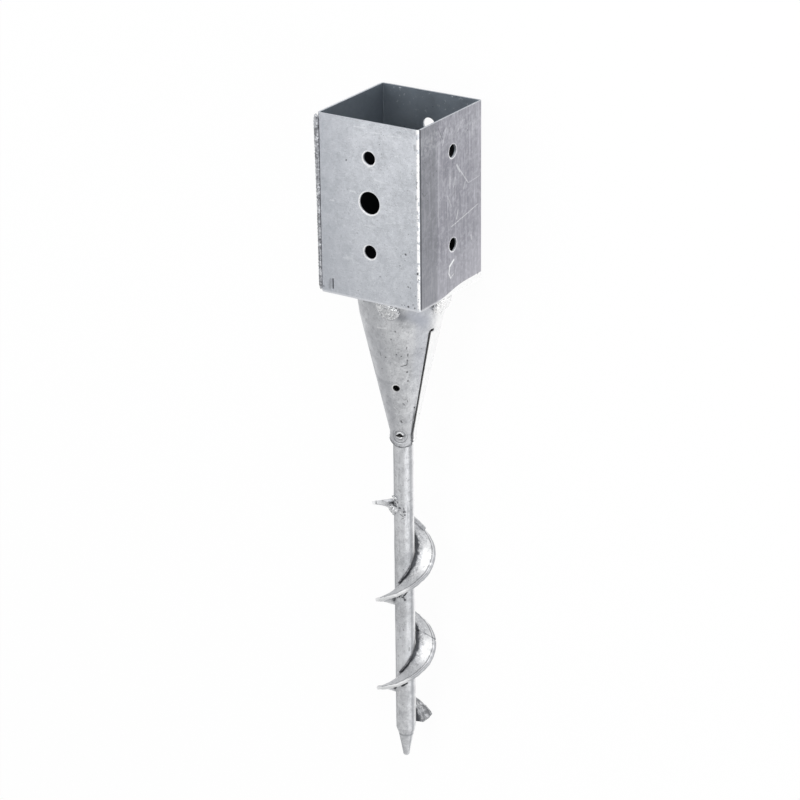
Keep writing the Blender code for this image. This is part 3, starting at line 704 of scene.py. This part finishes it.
def bar_areas(place):
    """Areas of the bar: a pale lower end, strips of painted shade and painted highlight, pale runs
    of zinc down its length, dull dents, a stained foot and the ring where its point begins to
    narrow faster."""
    bearing, _, z = cylindrical(place)
    ragged = clouds(place, 300.0, 5.0, 0.7)
    drawn = clouds(place, 1.0, 5.0, 0.65, (500, 500, 60))
    yield between(z, 0.15, 0.09), (0.82, 0.83, 0.85), 0.45
    # Painted shade and painted highlight: strips round the bar stand in for how light falls on it.
    yield turn_band(bearing, -23, -7, 4.0), (0.28, 0.29, 0.31), 0.55
    yield turn_band(bearing, 4, 60), white, 0.85
    yield turn_band(bearing, -48, -34, 6.0), (0.85, 0.86, 0.88), 0.1
    yield turn_band(bearing, -150, -118, 6.0), (0.28, 0.29, 0.31), 0.55
    yield between(drawn, 0.46, 0.3), (0.3, 0.31, 0.33), 0.5
    yield between(drawn, 0.56, 0.72), (0.92, 0.93, 0.94), 0.45
    yield between(ragged, 0.4, 0.26), (0.18, 0.185, 0.2), 0.6
    stain = times(between(z, 0.11, 0.05), between(ragged, 0.62, 0.44))
    ring = times(between(z, 0.0208, 0.0216), between(z, 0.0236, 0.0228))
    yield stain, (0.3, 0.31, 0.33), 0.3
    yield ring, (0.22, 0.23, 0.25), 0.55


bar_dark = [
    (-0.4, -8.5, 155.5, 2.3, -8.2, 159.0, 0.55, 1.0),
    (2.3, -8.2, 156.0, 4.0, -7.5, 155.2, 0.55, 1.0),
    (3.6, -7.7, 157.0, 6.0, -6.0, 160.6, 0.6, 1.0),
    (-2.4, -8.1, 154.0, -1.0, -8.4, 156.6, 0.4, 0.8),
    (1.4, -8.4, 71.0, 5.4, -6.6, 74.2, 0.85, 1.0), (-4.4, -7.3, 146.4, 0.45, 0.8),
    (4.2, -7.4, 238.6, 5.4, -6.6, 234.6, 0.55, 0.6),
    (1.8, -8.3, 232.8, 4.0, -7.5, 230.6, 0.4, 0.7),
    (2.2, -8.2, 228.4, 4.6, -7.1, 229.8, 0.35, 0.6),
    (-5.6, -6.4, 246.4, -3.0, -7.9, 243.8, 0.5, 0.8),
    (-3.4, -7.8, 239.6, -1.8, -8.3, 236.8, 0.45, 0.7), (-0.6, -8.5, 242.6, 0.6, 0.6),
    (6.9, -4.9, 108.0, 6.9, -4.9, 105.0, 0.35, 0.7),
    (-5.4, -6.5, 95.0, -5.4, -6.5, 93.6, 0.35, 0.7),
    (3.4, -7.8, 126.0, 3.4, -7.8, 124.6, 0.35, 0.5), (0.5, -8.5, 117.0, 0.4, 0.6)]
bar_bright = [
    (-1.6, -8.3, 241.6, -0.4, -8.5, 239.0, 0.55, 0.9), (-3.6, -7.7, 243.0, 0.6, 0.9),
    (2.6, -8.1, 231.8, 5.0, -6.9, 228.8, 0.4, 0.7),
    (1.0, -8.4, 235.8, 2.0, -8.3, 234.2, 0.45, 0.6),
    (-1.4, -8.4, 157.4, -0.2, -8.5, 158.0, 0.35, 0.8),
    (0.6, -8.5, 71.6, 4.4, -7.3, 73.6, 0.35, 0.8)]
bar_zinc = zinc("bar_zinc", (0.49, 0.5, 0.52), (0.7, 0.71, 0.73), grain=0.2, mottle=0.5,
                rough=(0.38, 0.54), areas=bar_areas, dark=bar_dark, bright=bar_bright)
new_piece("bar", skin(turned(bar_profile, 72, 420, 0.006, 3)), bar_zinc, ["shaft"],
          sharp=50)

# %% [markdown]
# A blade is a ring blank, cut open and pulled apart along the axis. Seen across its width, it is a
# thin bar with rounded edges; that outline is carried down the helix. The rim's height falls by
# one pitch in a turn, less the lean of the ring, and the root stands a little higher than the
# rim, because the blank dishes when it is pulled.

# %% Blades
def rise(bearing, start, pitch):
    """Rise of a rim from one bearing to another: a pitch in a turn, less its lean."""
    lean = np.cos(bearing - ring_lean_bearing) - np.cos(start - ring_lean_bearing)
    return (bearing - start) / (2 * math.pi) * pitch - ring_lean * lean


def lower_rim(bearing):
    return blade_end_height + rise(bearing, lower_end_rim, lower_pitch)


def middle_rim(bearing):
    return lower_rim(joint_rim) + rise(bearing, joint_rim, middle_pitch)


def upper_rim(bearing):
    grown = 1 / math.cos(math.atan(middle_pitch / (2 * math.pi * blade_rim)))
    stack = (blade_thickness + lap_gap) * grown
    return middle_rim(upper_end) + stack + rise(bearing, upper_end, upper_pitch)


def blade_outline(count=16, corner=0.42):
    """Outline across a blade: width shares out along the top, round the rim, back below.
    The second column is the height in half thicknesses, 1 on top and -1 below."""
    rounding = 0.035
    flat = np.linspace(0, 1 - rounding, count)
    swing = np.linspace(0, math.pi / 2, 5)[1:]
    bend = np.stack([1 - rounding + rounding * np.sin(swing),
                     1 - corner + corner * np.cos(swing)], axis=1)
    top = np.concatenate([np.stack([flat, np.ones(count)], axis=1), bend])
    return np.concatenate([top, top[::-1] * [1, -1]])


def blade(name, rim, start, end, first_dish, edges, nodes, shift=rim_shift, rows=420):
    """Surface of a blade. At a bearing b and a width share w its middle is at the radius
    root + w * (width + shift * cos(b - shift bearing)) and at the height
    rim(b) + (1 - w) * dish(b); the outline stands half a thickness off it along the normal."""
    outline = blade_outline()
    share = np.linspace(0, 1, rows)[:, None]
    across = outline[None, :, 0]
    bearing = start(across) + (end(across) - start(across)) * share
    inner, outer = edges(bearing)
    width_share = inner + (outer - inner) * across
    dish = first_dish + (blade_dish - first_dish) * share

    def middle(b, w):
        width = blade_rim - blade_root + shift * np.cos(b - rim_shift_bearing)
        wave = 0.00022 * np.sin(11 * b) + 0.00016 * np.sin(27 * b + 1.3)
        return around(b, blade_root + width * w, rim(b) + dish * (1 - w) + wave * w)

    small = 0.0005
    along = middle(bearing + small, width_share) - middle(bearing - small, width_share)
    out = middle(bearing, width_share + small) - middle(bearing, width_share - small)
    normal = np.cross(out, along)
    normal /= np.linalg.norm(normal, axis=-1, keepdims=True)
    place = middle(bearing, width_share)
    ragged = 1 + 0.05 * uneven(place, 0.004, 5)
    grid = place + normal * (outline[None, :, 1] * ragged * blade_thickness / 2)[..., None]
    new_piece(name, skin(grid), flight_zinc, nodes, sharp=40)


def whole(bearing):
    return 0.0, 1.0


def tongued(bearing):
    """Edges of the upper blade: full width, then a narrow tongue at the rim, rounded off."""
    narrow = 1 - tongue_width / (blade_rim - blade_root)
    past = np.clip((tongue_start - bearing) / math.radians(1.2), 0, 1)
    near_end = np.clip((bearing - upper_end) / math.radians(3.8), 0, 1)
    round_off = 1 - np.sqrt(np.clip(1 - (1 - near_end) ** 2, 0, 1))
    half = (1 - narrow) / 2
    inner = narrow * np.sqrt(past) + half * round_off
    return inner, 1 - half * 0.98 * round_off


def slanted(root, rim, kept=0.0):
    """Where a blade ends: at the bearing root for the kept share of its width, then on to rim."""
    return lambda share: root + (rim - root) * np.maximum(0, share - kept) / (1 - kept)


def flight_areas(place):
    """Areas of a blade: dents, painted shade towards the root, a sweep of painted shade, a painted
    highlight on the lobe with flecks, pits, a thin line inside the rubbed rim, the rim's limb, a
    stained end and a ragged band of painted shadow at the root."""
    bearing, out, z = cylindrical(place)
    ragged = clouds(place, 260.0, 4.0, 0.65)
    edge = maths("ADD", out, maths("MULTIPLY_ADD", ragged, 0.005, -0.0025))
    yield between(ragged, 0.42, 0.28), (0.3, 0.31, 0.33), 0.6
    # Painted shade towards the root.
    yield between(edge, 0.0175, 0.0125), (0.33, 0.34, 0.36), 0.65
    # Painted shade over a sweep that turns from the light.
    sweep = times(turn_band(bearing, -128, -38, 14.0), between(edge, 0.0245, 0.0215))
    yield sweep, (0.44, 0.45, 0.47), 0.62
    # Painted highlight on the lobe.
    lobe = times(turn_band(bearing, -14, 40, 12.0), between(edge, 0.014, 0.018),
                 between(edge, 0.0246, 0.0222))
    yield lobe, white, 0.6
    flecks = times(between(clouds(place, 700.0, 3.0, 0.7), 0.54, 0.62),
                   between(edge, 0.0118, 0.013), between(edge, 0.016, 0.0145))
    yield flecks, white, 0.7
    pits = times(between(clouds(place, 560.0, 3.0, 0.7), 0.44, 0.34),
                 between(edge, 0.024, 0.018, 0.35, 1.0))
    yield pits, (0.16, 0.165, 0.18), 0.5
    line = times(between(out, 0.0224, 0.023), between(out, 0.0241, 0.0236),
                 between(clouds(place, 520.0, 3.0, 0.7), 0.3, 0.48))
    yield line, (0.2, 0.205, 0.22), 0.75
    yield between(out, 0.024, 0.0245), (0.92, 0.925, 0.93), 0.7
    limb = times(turn_band(bearing, -50, 70, 8.0), between(out, 0.0243, 0.0247))
    yield limb, (0.3, 0.31, 0.33), 0.75
    end = times(between(z, 0.056, 0.04), between(ragged, 0.64, 0.42))
    yield end, (0.14, 0.145, 0.155), 0.8
    # Painted shadow: a dark ragged band at the root, weaker at other bearings.
    kept = clamped(maths("ADD", turn_band(bearing, -78, 150, 16.0), 0.35))
    yield times(between(edge, 0.0134, 0.011), between(z, 0.236, 0.23), kept), \
        (0.04, 0.043, 0.05), 0.95


flight_zinc = zinc("flight_zinc", (0.56, 0.57, 0.59), (0.8, 0.805, 0.82), grain=0.18,
                   mottle=0.55, rough=(0.36, 0.52), bump=0.2, areas=flight_areas)
half_butt = butt_gap / 2 / blade_root
blade("blade_lower", lower_rim, slanted(joint_root - half_butt, joint_rim - half_butt),
      slanted(lower_end, lower_end_rim, 0.4), blade_dish, whole, ["flight_lower"])
blade("blade_middle", middle_rim, slanted(middle_start, middle_start),
      slanted(joint_root + half_butt, joint_rim + half_butt), blade_dish, whole,
      ["flight_middle"])
blade("blade_upper", upper_rim, slanted(upper_start, upper_start),
      slanted(upper_end, upper_end), start_dish, tongued, ["flight_upper"], upper_rim_shift)

# %% [markdown]
# Weld metal freezes in scales, one for each puddle. A bead is a tube along its path whose radius
# swells and drops again at every scale; the scales lean back along the path. The longest one
# closes the sleeve's open corner; the others sit in the corners between the bar and the blades.

# %% Weld beads
def bead(name, path, radius, scale_count, guide, nodes, material, seed=11):
    """A tube along a path: centre + r * (cos t * side + sin t * up), where side and up stand
    square to the path, and r swells by a tenth in each scale, later on the flanks than on top."""
    direction = np.gradient(path, axis=0)
    direction /= np.linalg.norm(direction, axis=1)[:, None]
    side = np.cross(direction, guide)
    side /= np.linalg.norm(side, axis=1)[:, None]
    upward = np.cross(side, direction)
    t = full_turn(20)[None, :]
    share = np.linspace(0, 1, len(path))[:, None]
    scale = np.abs(np.sin(math.pi * (share * scale_count + 0.25 * np.cos(t)))) ** 0.6
    ends = np.sqrt(np.clip(1 - np.abs(2 * share - 1) ** 24, 0.02, 1))
    r = np.broadcast_to(radius, len(path))[:, None] * ends * (0.88 + 0.14 * scale)
    away = r[..., None] * (np.cos(t)[..., None] * side[:, None, :]
                           + np.sin(t)[..., None] * upward[:, None, :])
    rough = 1 + 0.07 * uneven(path[:, None, :] + away, 0.0018, seed)
    new_piece(name, skin(path[:, None, :] + away * rough[..., None]), material,
              nodes, sharp=60)


def lump_areas(place):
    """Areas of a weld lump: dark pits and bright crystals a millimetre wide, and a painted
    highlight that whitens the right lump.
    """
    grit = clouds(place, 620.0, 3.0, 0.75)
    x = add_node(place.id_data, "SeparateXYZ", {0: place}).outputs[0]
    yield between(grit, 0.46, 0.36), (0.14, 0.145, 0.16), 0.8
    yield between(grit, 0.54, 0.64), white, 0.9
    # Painted highlight: the right lump is painted white for glare.
    yield between(x, 0.03, 0.035), white, 0.95


lump_zinc = zinc("lump_zinc", (0.5, 0.51, 0.53), (0.8, 0.81, 0.82), grain=0.25, mottle=0.5,
                 cloud_scale=420.0, rough=(0.2, 0.4), bump=0.9, specks=1.0, areas=lump_areas)
under_zinc = zinc("under_zinc", (0.06, 0.062, 0.07), (0.24, 0.245, 0.26), grain=0.1, mottle=0.25,
                  cloud_scale=380.0, rough=(0.4, 0.6), bump=0.8, specks=1.0)
seam_dark = [(-47.6, -47.6, high, -47.6, -47.6, low, half, 0.95) for high, low, half in (
    (575, 571, 0.7), (562, 559, 0.8), (549, 547, 0.6), (528, 521, 1.1), (512, 509, 0.8),
    (499, 483, 1.0), (474, 471, 0.8), (463, 459, 0.9), (452, 450, 0.7), (443, 439, 0.9))]
seam_zinc = zinc("seam_zinc", (0.17, 0.175, 0.19), (0.5, 0.51, 0.54), grain=0.2, mottle=0.6,
                 cloud_scale=320.0, rough=(0.3, 0.5), bump=0.7, specks=1.0, dark=seam_dark)
x_way, y_way, z_way = np.eye(3)
heights = np.linspace(sleeve_low + 0.0014, overall_length - 0.0012, 420)
share = (heights - heights[0]) / (heights[-1] - heights[0])
seam_radius = 0.00145 + 0.0008 * share ** 2
seam_place = seam_edge - seam_radius - 0.00015
seam_path = np.stack([seam_place, seam_place, heights], axis=1)
bead("weld_seam", seam_path, seam_radius, 56, x_way, ["sleeve_seam_weld"], seam_zinc)


def root_path(rim, dish, span, side, pitch, thick=0.0009):
    """A path in the corner between the bar and a blade, above it or, with side -1, below."""
    bearing = np.linspace(*np.radians(span), 160)
    lean = math.cos(math.atan(pitch / (2 * math.pi * (bar_radius + thick))))
    lift = (blade_thickness / 2 + thick) / lean
    return around(bearing, bar_radius + thick, rim(bearing) + dish + side * lift)


def started_rim(bearing):
    """The upper blade's rim, carried on level past its start."""
    return upper_rim(np.minimum(bearing, upper_start))


bead_radius = 0.00115
start_path = root_path(started_rim, start_dish, (275, 190), -1, upper_pitch, 0.0022)
bead("weld_start", start_path, 2 * bead_radius, 7, z_way, ["flight_weld_start"], lump_zinc)
for label, span, side, thick, drop in (("top", (268, 226), 1, 0.001, 0.0),
                                       ("low", (252, 196), -1, 0.0015, -0.0036),
                                       ("foot", (244, 200), -1, 0.0008, -0.0074)):
    path = root_path(started_rim, start_dish, span, side, upper_pitch, thick) + [0, 0, drop]
    bead("weld_start_" + label, path, thick, 5, z_way, [], lump_zinc, seed=14)
for label, rim, pitch, turns in (("first", middle_rim, middle_pitch, 0),
                                 ("second", lower_rim, lower_pitch, 360)):
    for part, span, side, thick, radius in (
            ("_turn", (-24, -92), 1, 0.0007, 0.75 * bead_radius),
            ("_under", (-70, -158), -1, 0.0009, bead_radius)):
        path = root_path(rim, blade_dish, np.array(span) - turns, side, pitch, thick)
        bead("weld_" + label + part, path, radius, 9, z_way, ["flight_weld_" + label + part],
             under_zinc)

# %% [markdown]
# A large single weld is a lump: a rounded body with pores, pressed against the cone under the
# sleeve. A ball is the plainest start. We roughen it, lean it and push whatever would lie inside
# the cone out to the cone's face. The plug weld fills a hole in the collar: it stands out as a
# low lip round the crater that the arc left when it was broken off.

# %% Weld lumps and the plug weld
def ball(rows, columns):
    """Points of a ball of radius one, from near one pole to near the other."""
    polar = np.linspace(0.02, math.pi - 0.02, rows)[:, None]
    return around(full_turn(columns)[None, :], np.sin(polar), np.cos(polar))


def swung(points, bearing):
    """Points turned about the screw's axis, so that the X axis comes to a bearing."""
    c, s = math.cos(bearing), math.sin(bearing)
    return points @ np.array([[c, s, 0], [-s, c, 0], [0, 0, 1]])


def lump(label, bearing, shift, seed):
    """A ball with half sizes depth, width and height and a rough skin, leaned, moved out to the
    sleeve's edge and turned to its side; points inside the cone are pushed out to its face."""
    form = ball(60, 96) * [lump_half_depth, lump_half_width, lump_half_height]
    rough = 0.05 * uneven(form, 0.006, seed) + 0.045 * uneven(form, 0.0024, seed + 1)
    form = form * (0.97 + rough)[..., None]
    c, s = math.cos(lump_lean), math.sin(lump_lean)
    form = form @ np.array([[c, 0, -s], [0, 1, 0], [s, 0, c]])
    form += [lump_radius, shift, sleeve_low - lump_drop]
    form[..., 2] = np.minimum(form[..., 2], sleeve_low - 2 * lump_gap)
    radius = np.hypot(form[..., 0], form[..., 1])
    wall = np.interp(form[..., 2], cone_profile[:, 0], cone_profile[:, 1]) + lump_gap
    form[..., :2] *= (np.maximum(radius, wall) / radius)[..., None]
    new_piece("weld_" + label, skin(swung(form, math.radians(bearing))), lump_zinc,
              ["sleeve_weld_" + label], sharp=70)


for row in (("front", -90, 0.0118, 21), ("right", 0, -0.0015, 31), ("back", 90, 0.004, 41),
            ("left", 180, -0.003, 51)):
    lump(*row)

crater_side = around(plug_bearing + math.pi / 2, 1.0, 0.0)
crater_half_width, crater_half_height = 0.0046, 0.0019


def plug_areas(place):
    """The crater is dark inside a diamond: |along| / half width + |high| / half height < 1."""
    off = vectors("SUBTRACT", place, plug_centre)
    along = maths("ABSOLUTE", vectors("DOT_PRODUCT", off, crater_side / crater_half_width))
    high = maths("ABSOLUTE", vectors("DOT_PRODUCT", off, z_way / crater_half_height))
    yield between(maths("ADD", along, high), 1.1, 0.85), (0.008, 0.008, 0.009), 1.0


plug_zinc = zinc("plug_zinc", (0.55, 0.56, 0.58), (0.85, 0.86, 0.87), grain=0.2, mottle=0.4,
                 cloud_scale=300.0, rough=(0.25, 0.4), areas=plug_areas)
plug_out = np.array([0.0088, 0.0108, 0.0114, 0.01165, 0.0116, 0.0111, 0.0104, 0.0099])[:, None]
plug_wide = np.array([0.0034, 0.00345, 0.0033, 0.0028, 0.0022, 0.0016, 0.0012, 0.0006])[:, None]
t = full_turn(48)
plug = np.stack([plug_out + 0 * t, plug_wide * np.cos(t), plug_wide * np.sin(t)], axis=-1)
plug[..., 0] += 0.0001 * uneven(plug, 0.0015, 61)
plug = swung(plug, plug_bearing) + [0, 0, cone_low + plug_rise]
new_piece("weld_plug", skin(plug), plug_zinc, ["plug_weld"], sharp=60)

# %% [markdown]
# Welding throws small drops that freeze where they land, and the collar's lower end keeps a thin
# ragged edge of zinc where the bath ran off. Both are too small for the solid model. A drop is a
# ball half sunk in the metal, and the edge is a closed ring of a changing thickness.

# %% Spatter and the collar's rim
def spatter(name, rows, material):
    """Small balls at (x, y, z, radius) in mm, each half sunk in the metal that it stuck to."""
    points, faces = skin(ball(9, 14))
    rows = np.array(rows) / 1000
    shape = points * (1 + 0.15 * uneven(points, 1.0, 81))[:, None]
    many = (rows[:, None, :3] + rows[:, None, 3:] * shape[None]).reshape(-1, 3)
    all_faces = [[corner + number * len(points) for corner in face]
                 for number in range(len(rows)) for face in faces]
    new_piece(name, (many, all_faces), material, sharp=60)


spatter("weld_spatter", [
    (-2.7, -8.0, 241.1, 0.9), (-0.8, -8.4, 243.4, 0.6), (1.4, -8.4, 238.6, 0.8),
    (4.6, -7.2, 235.2, 1.0), (5.2, -6.7, 232.4, 0.7), (-4.9, -6.9, 238.0, 0.9),
    (-0.4, -8.5, 158.3, 0.9), (2.2, -8.2, 160.4, 0.8), (4.7, -7.1, 160.9, 0.7),
    (4.6, -7.1, 153.4, 0.9), (3.3, -7.9, 74.3, 0.9), (0.6, -8.5, 76.0, 0.7)],
        under_zinc)


def collar_ring(name, height, thick, seed, material):
    """A closed ring about the axis: a tube of a small, ragged thickness round the collar's end."""
    t, s = full_turn(160)[:, None], full_turn(10)[None, :]
    wide = thick * (1 + 0.3 * uneven(around(t, collar_radius, height), 0.006, seed))
    grid = around(t, collar_radius + wide * np.cos(s),
                  height + collar_lift(t) + 1.6 * wide * np.sin(s))
    new_piece(name, skin(grid, wrap_rows=True), material, sharp=80)


def rim_areas(place):
    """The collar's rim is dark in front and carries a painted highlight past the slit."""
    yield turn_band(cylindrical(place)[0], -17, 120, 3.0), white, 0.97


rim_zinc = zinc("rim_zinc", (0.1, 0.102, 0.11), (0.28, 0.285, 0.3), grain=0.1, mottle=0.25,
                cloud_scale=380.0, areas=rim_areas)
collar_ring("collar_rim_low", cone_low + 0.001, 0.00045, 91, rim_zinc)
collar_ring("collar_rim_high", cone_low + 0.0036, 0.00028, 95, cone_zinc)

# %% [markdown]
# Drilled holes in thick sheet keep a burr, and zinc gathers on it, most on the side where it ran
# off. A burr is a thin ring round the hole's edge, thicker on that side.

# %% Burrs round the holes
def burr(name, centre, across, hole_radius):
    """A closed ring: centre + R * (cos t * across + sin t * up), as thick at each t as
    thin + thick * ((1 + cos(t - heavy)) / 2) ** 1.5, and a little ragged."""
    t, s = full_turn(120), full_turn(10)[None, :, None]
    thin, thick, heavy = 0.00012, 0.00034, math.radians(225)
    spoke = np.cos(t)[:, None] * across + np.sin(t)[:, None] * z_way
    wide = thin + thick * ((1 + np.cos(t - heavy)) / 2) ** 1.5
    wide = wide * (1 + 0.25 * uneven(centre + hole_radius * spoke, 0.002, 71))
    core = centre + (hole_radius + thin) * spoke
    grid = core[:, None, :] + wide[:, None, None] * (
        np.cos(s) * spoke[:, None, :] + 0.35 * np.sin(s) * np.cross(across, z_way))
    new_piece(name, skin(grid, wrap_rows=True), burr_zinc, sharp=80)


burr_zinc = zinc("burr_zinc", (0.7, 0.71, 0.73), (0.9, 0.91, 0.92), grain=0.05,
                 rough=(0.25, 0.4), specks=0.2)
for label, height, radius in (("upper", upper_hole, bolt_hole_radius),
                              ("middle", bar_hole, bar_hole_radius),
                              ("lower", lower_hole, bolt_hole_radius)):
    walls = [("front_", (front_hole_shift, -sleeve_half, height), x_way),
             ("back_", (back_hole_shift, sleeve_half, height + back_hole_rise), -x_way)]
    if label != "middle":
        walls += [("right_", (sleeve_half, side_hole_shift, height), y_way),
                  ("left_", (-sleeve_half, side_hole_shift, height), -y_way)]
    for wall, centre, across in walls:
        burr("burr_" + wall + label, np.array(centre), across, radius)

# %% [markdown]
# The picture has a plain white ground. The floor shows the camera and mirror-like rays mostly
# white of strength one, and the rest of its colour comes from the lamps, so that it keeps the
# screw's shadow. The lamps stay at a level at which a grey renders about as it is written.

# %% Floor, world and lamps
floor_white = bpy.data.materials.new("floor_white")
floor_white.use_nodes = True
tree = floor_white.node_tree
tree.nodes.remove(tree.nodes["Principled BSDF"])
path = add_node(tree, "LightPath").outputs
seen = maths("MAXIMUM", path["Is Camera Ray"], path["Is Glossy Ray"])
paint = add_node(tree, "BsdfDiffuse", {"Color": (0.9, 0.9, 0.9, 1.0)}).outputs[0]
glow = add_node(tree, "Emission", {"Color": (1, 1, 1, 1), "Strength": 1.0}).outputs[0]
blend = add_node(tree, "MixShader", {0: times(seen, 0.95), 1: paint, 2: glow})
tree.links.new(blend.outputs[0], tree.nodes["Material Output"].inputs["Surface"])
floor_half = 6.0
floor_mesh = bpy.data.meshes.new("floor")
floor_mesh.from_pydata([(-floor_half, -floor_half, 0), (floor_half, -floor_half, 0),
                        (floor_half, floor_half, 0), (-floor_half, floor_half, 0)], [],
                       [(0, 1, 2, 3)])
floor = bpy.data.objects.new("floor", floor_mesh)
bpy.context.scene.collection.objects.link(floor)
floor_mesh.materials.append(floor_white)

bpy.context.scene.view_settings.view_transform = "Standard"
world = bpy.data.worlds.new("studio")
bpy.context.scene.world = world
world.use_nodes = True
world_tree = world.node_tree
background = world_tree.nodes["Background"]
path = add_node(world_tree, "LightPath").outputs
seen = maths("MAXIMUM", path["Is Camera Ray"], path["Is Transmission Ray"])
background.inputs["Color"].default_value = (1, 1, 1, 1)
world_tree.links.new(between(seen, 0.0, 1.0, 0.55, 1.0), background.inputs["Strength"])


def lamp(name, place, target, power, width, height):
    """A soft rectangular lamp at a place, looking at a target."""
    data = bpy.data.lights.new(name, "AREA")
    data.shape = "RECTANGLE"
    data.size, data.size_y = width, height
    data.energy = power
    ahead = np.array(target) - np.array(place)
    ahead /= np.linalg.norm(ahead)
    sideways = np.cross(ahead, [0.0, 1.0, 0.05])
    sideways /= np.linalg.norm(sideways)
    stand_at(name, data, place, sideways, np.cross(sideways, ahead), -ahead)
    print(name, "has", power, "watts")


lamp("lamp_top", (-0.7, 0.5, 1.9), (0, 0, 0), 15.0, 1.4, 1.8)
lamp("lamp_fold", (1.55, -0.35, 0.85), (0.03, 0.0, 0.05), 7.0, 1.1, 1.0)
lamp("lamp_rim", (0.35, 1.6, 0.75), (0.0, 0.0, 0.04), 10.0, 0.9, 0.7)
lamp("lamp_low", (1.5, 0.0, 0.16), (0.0, 0.0, 0.05), 4.5, 1.6, 0.28)
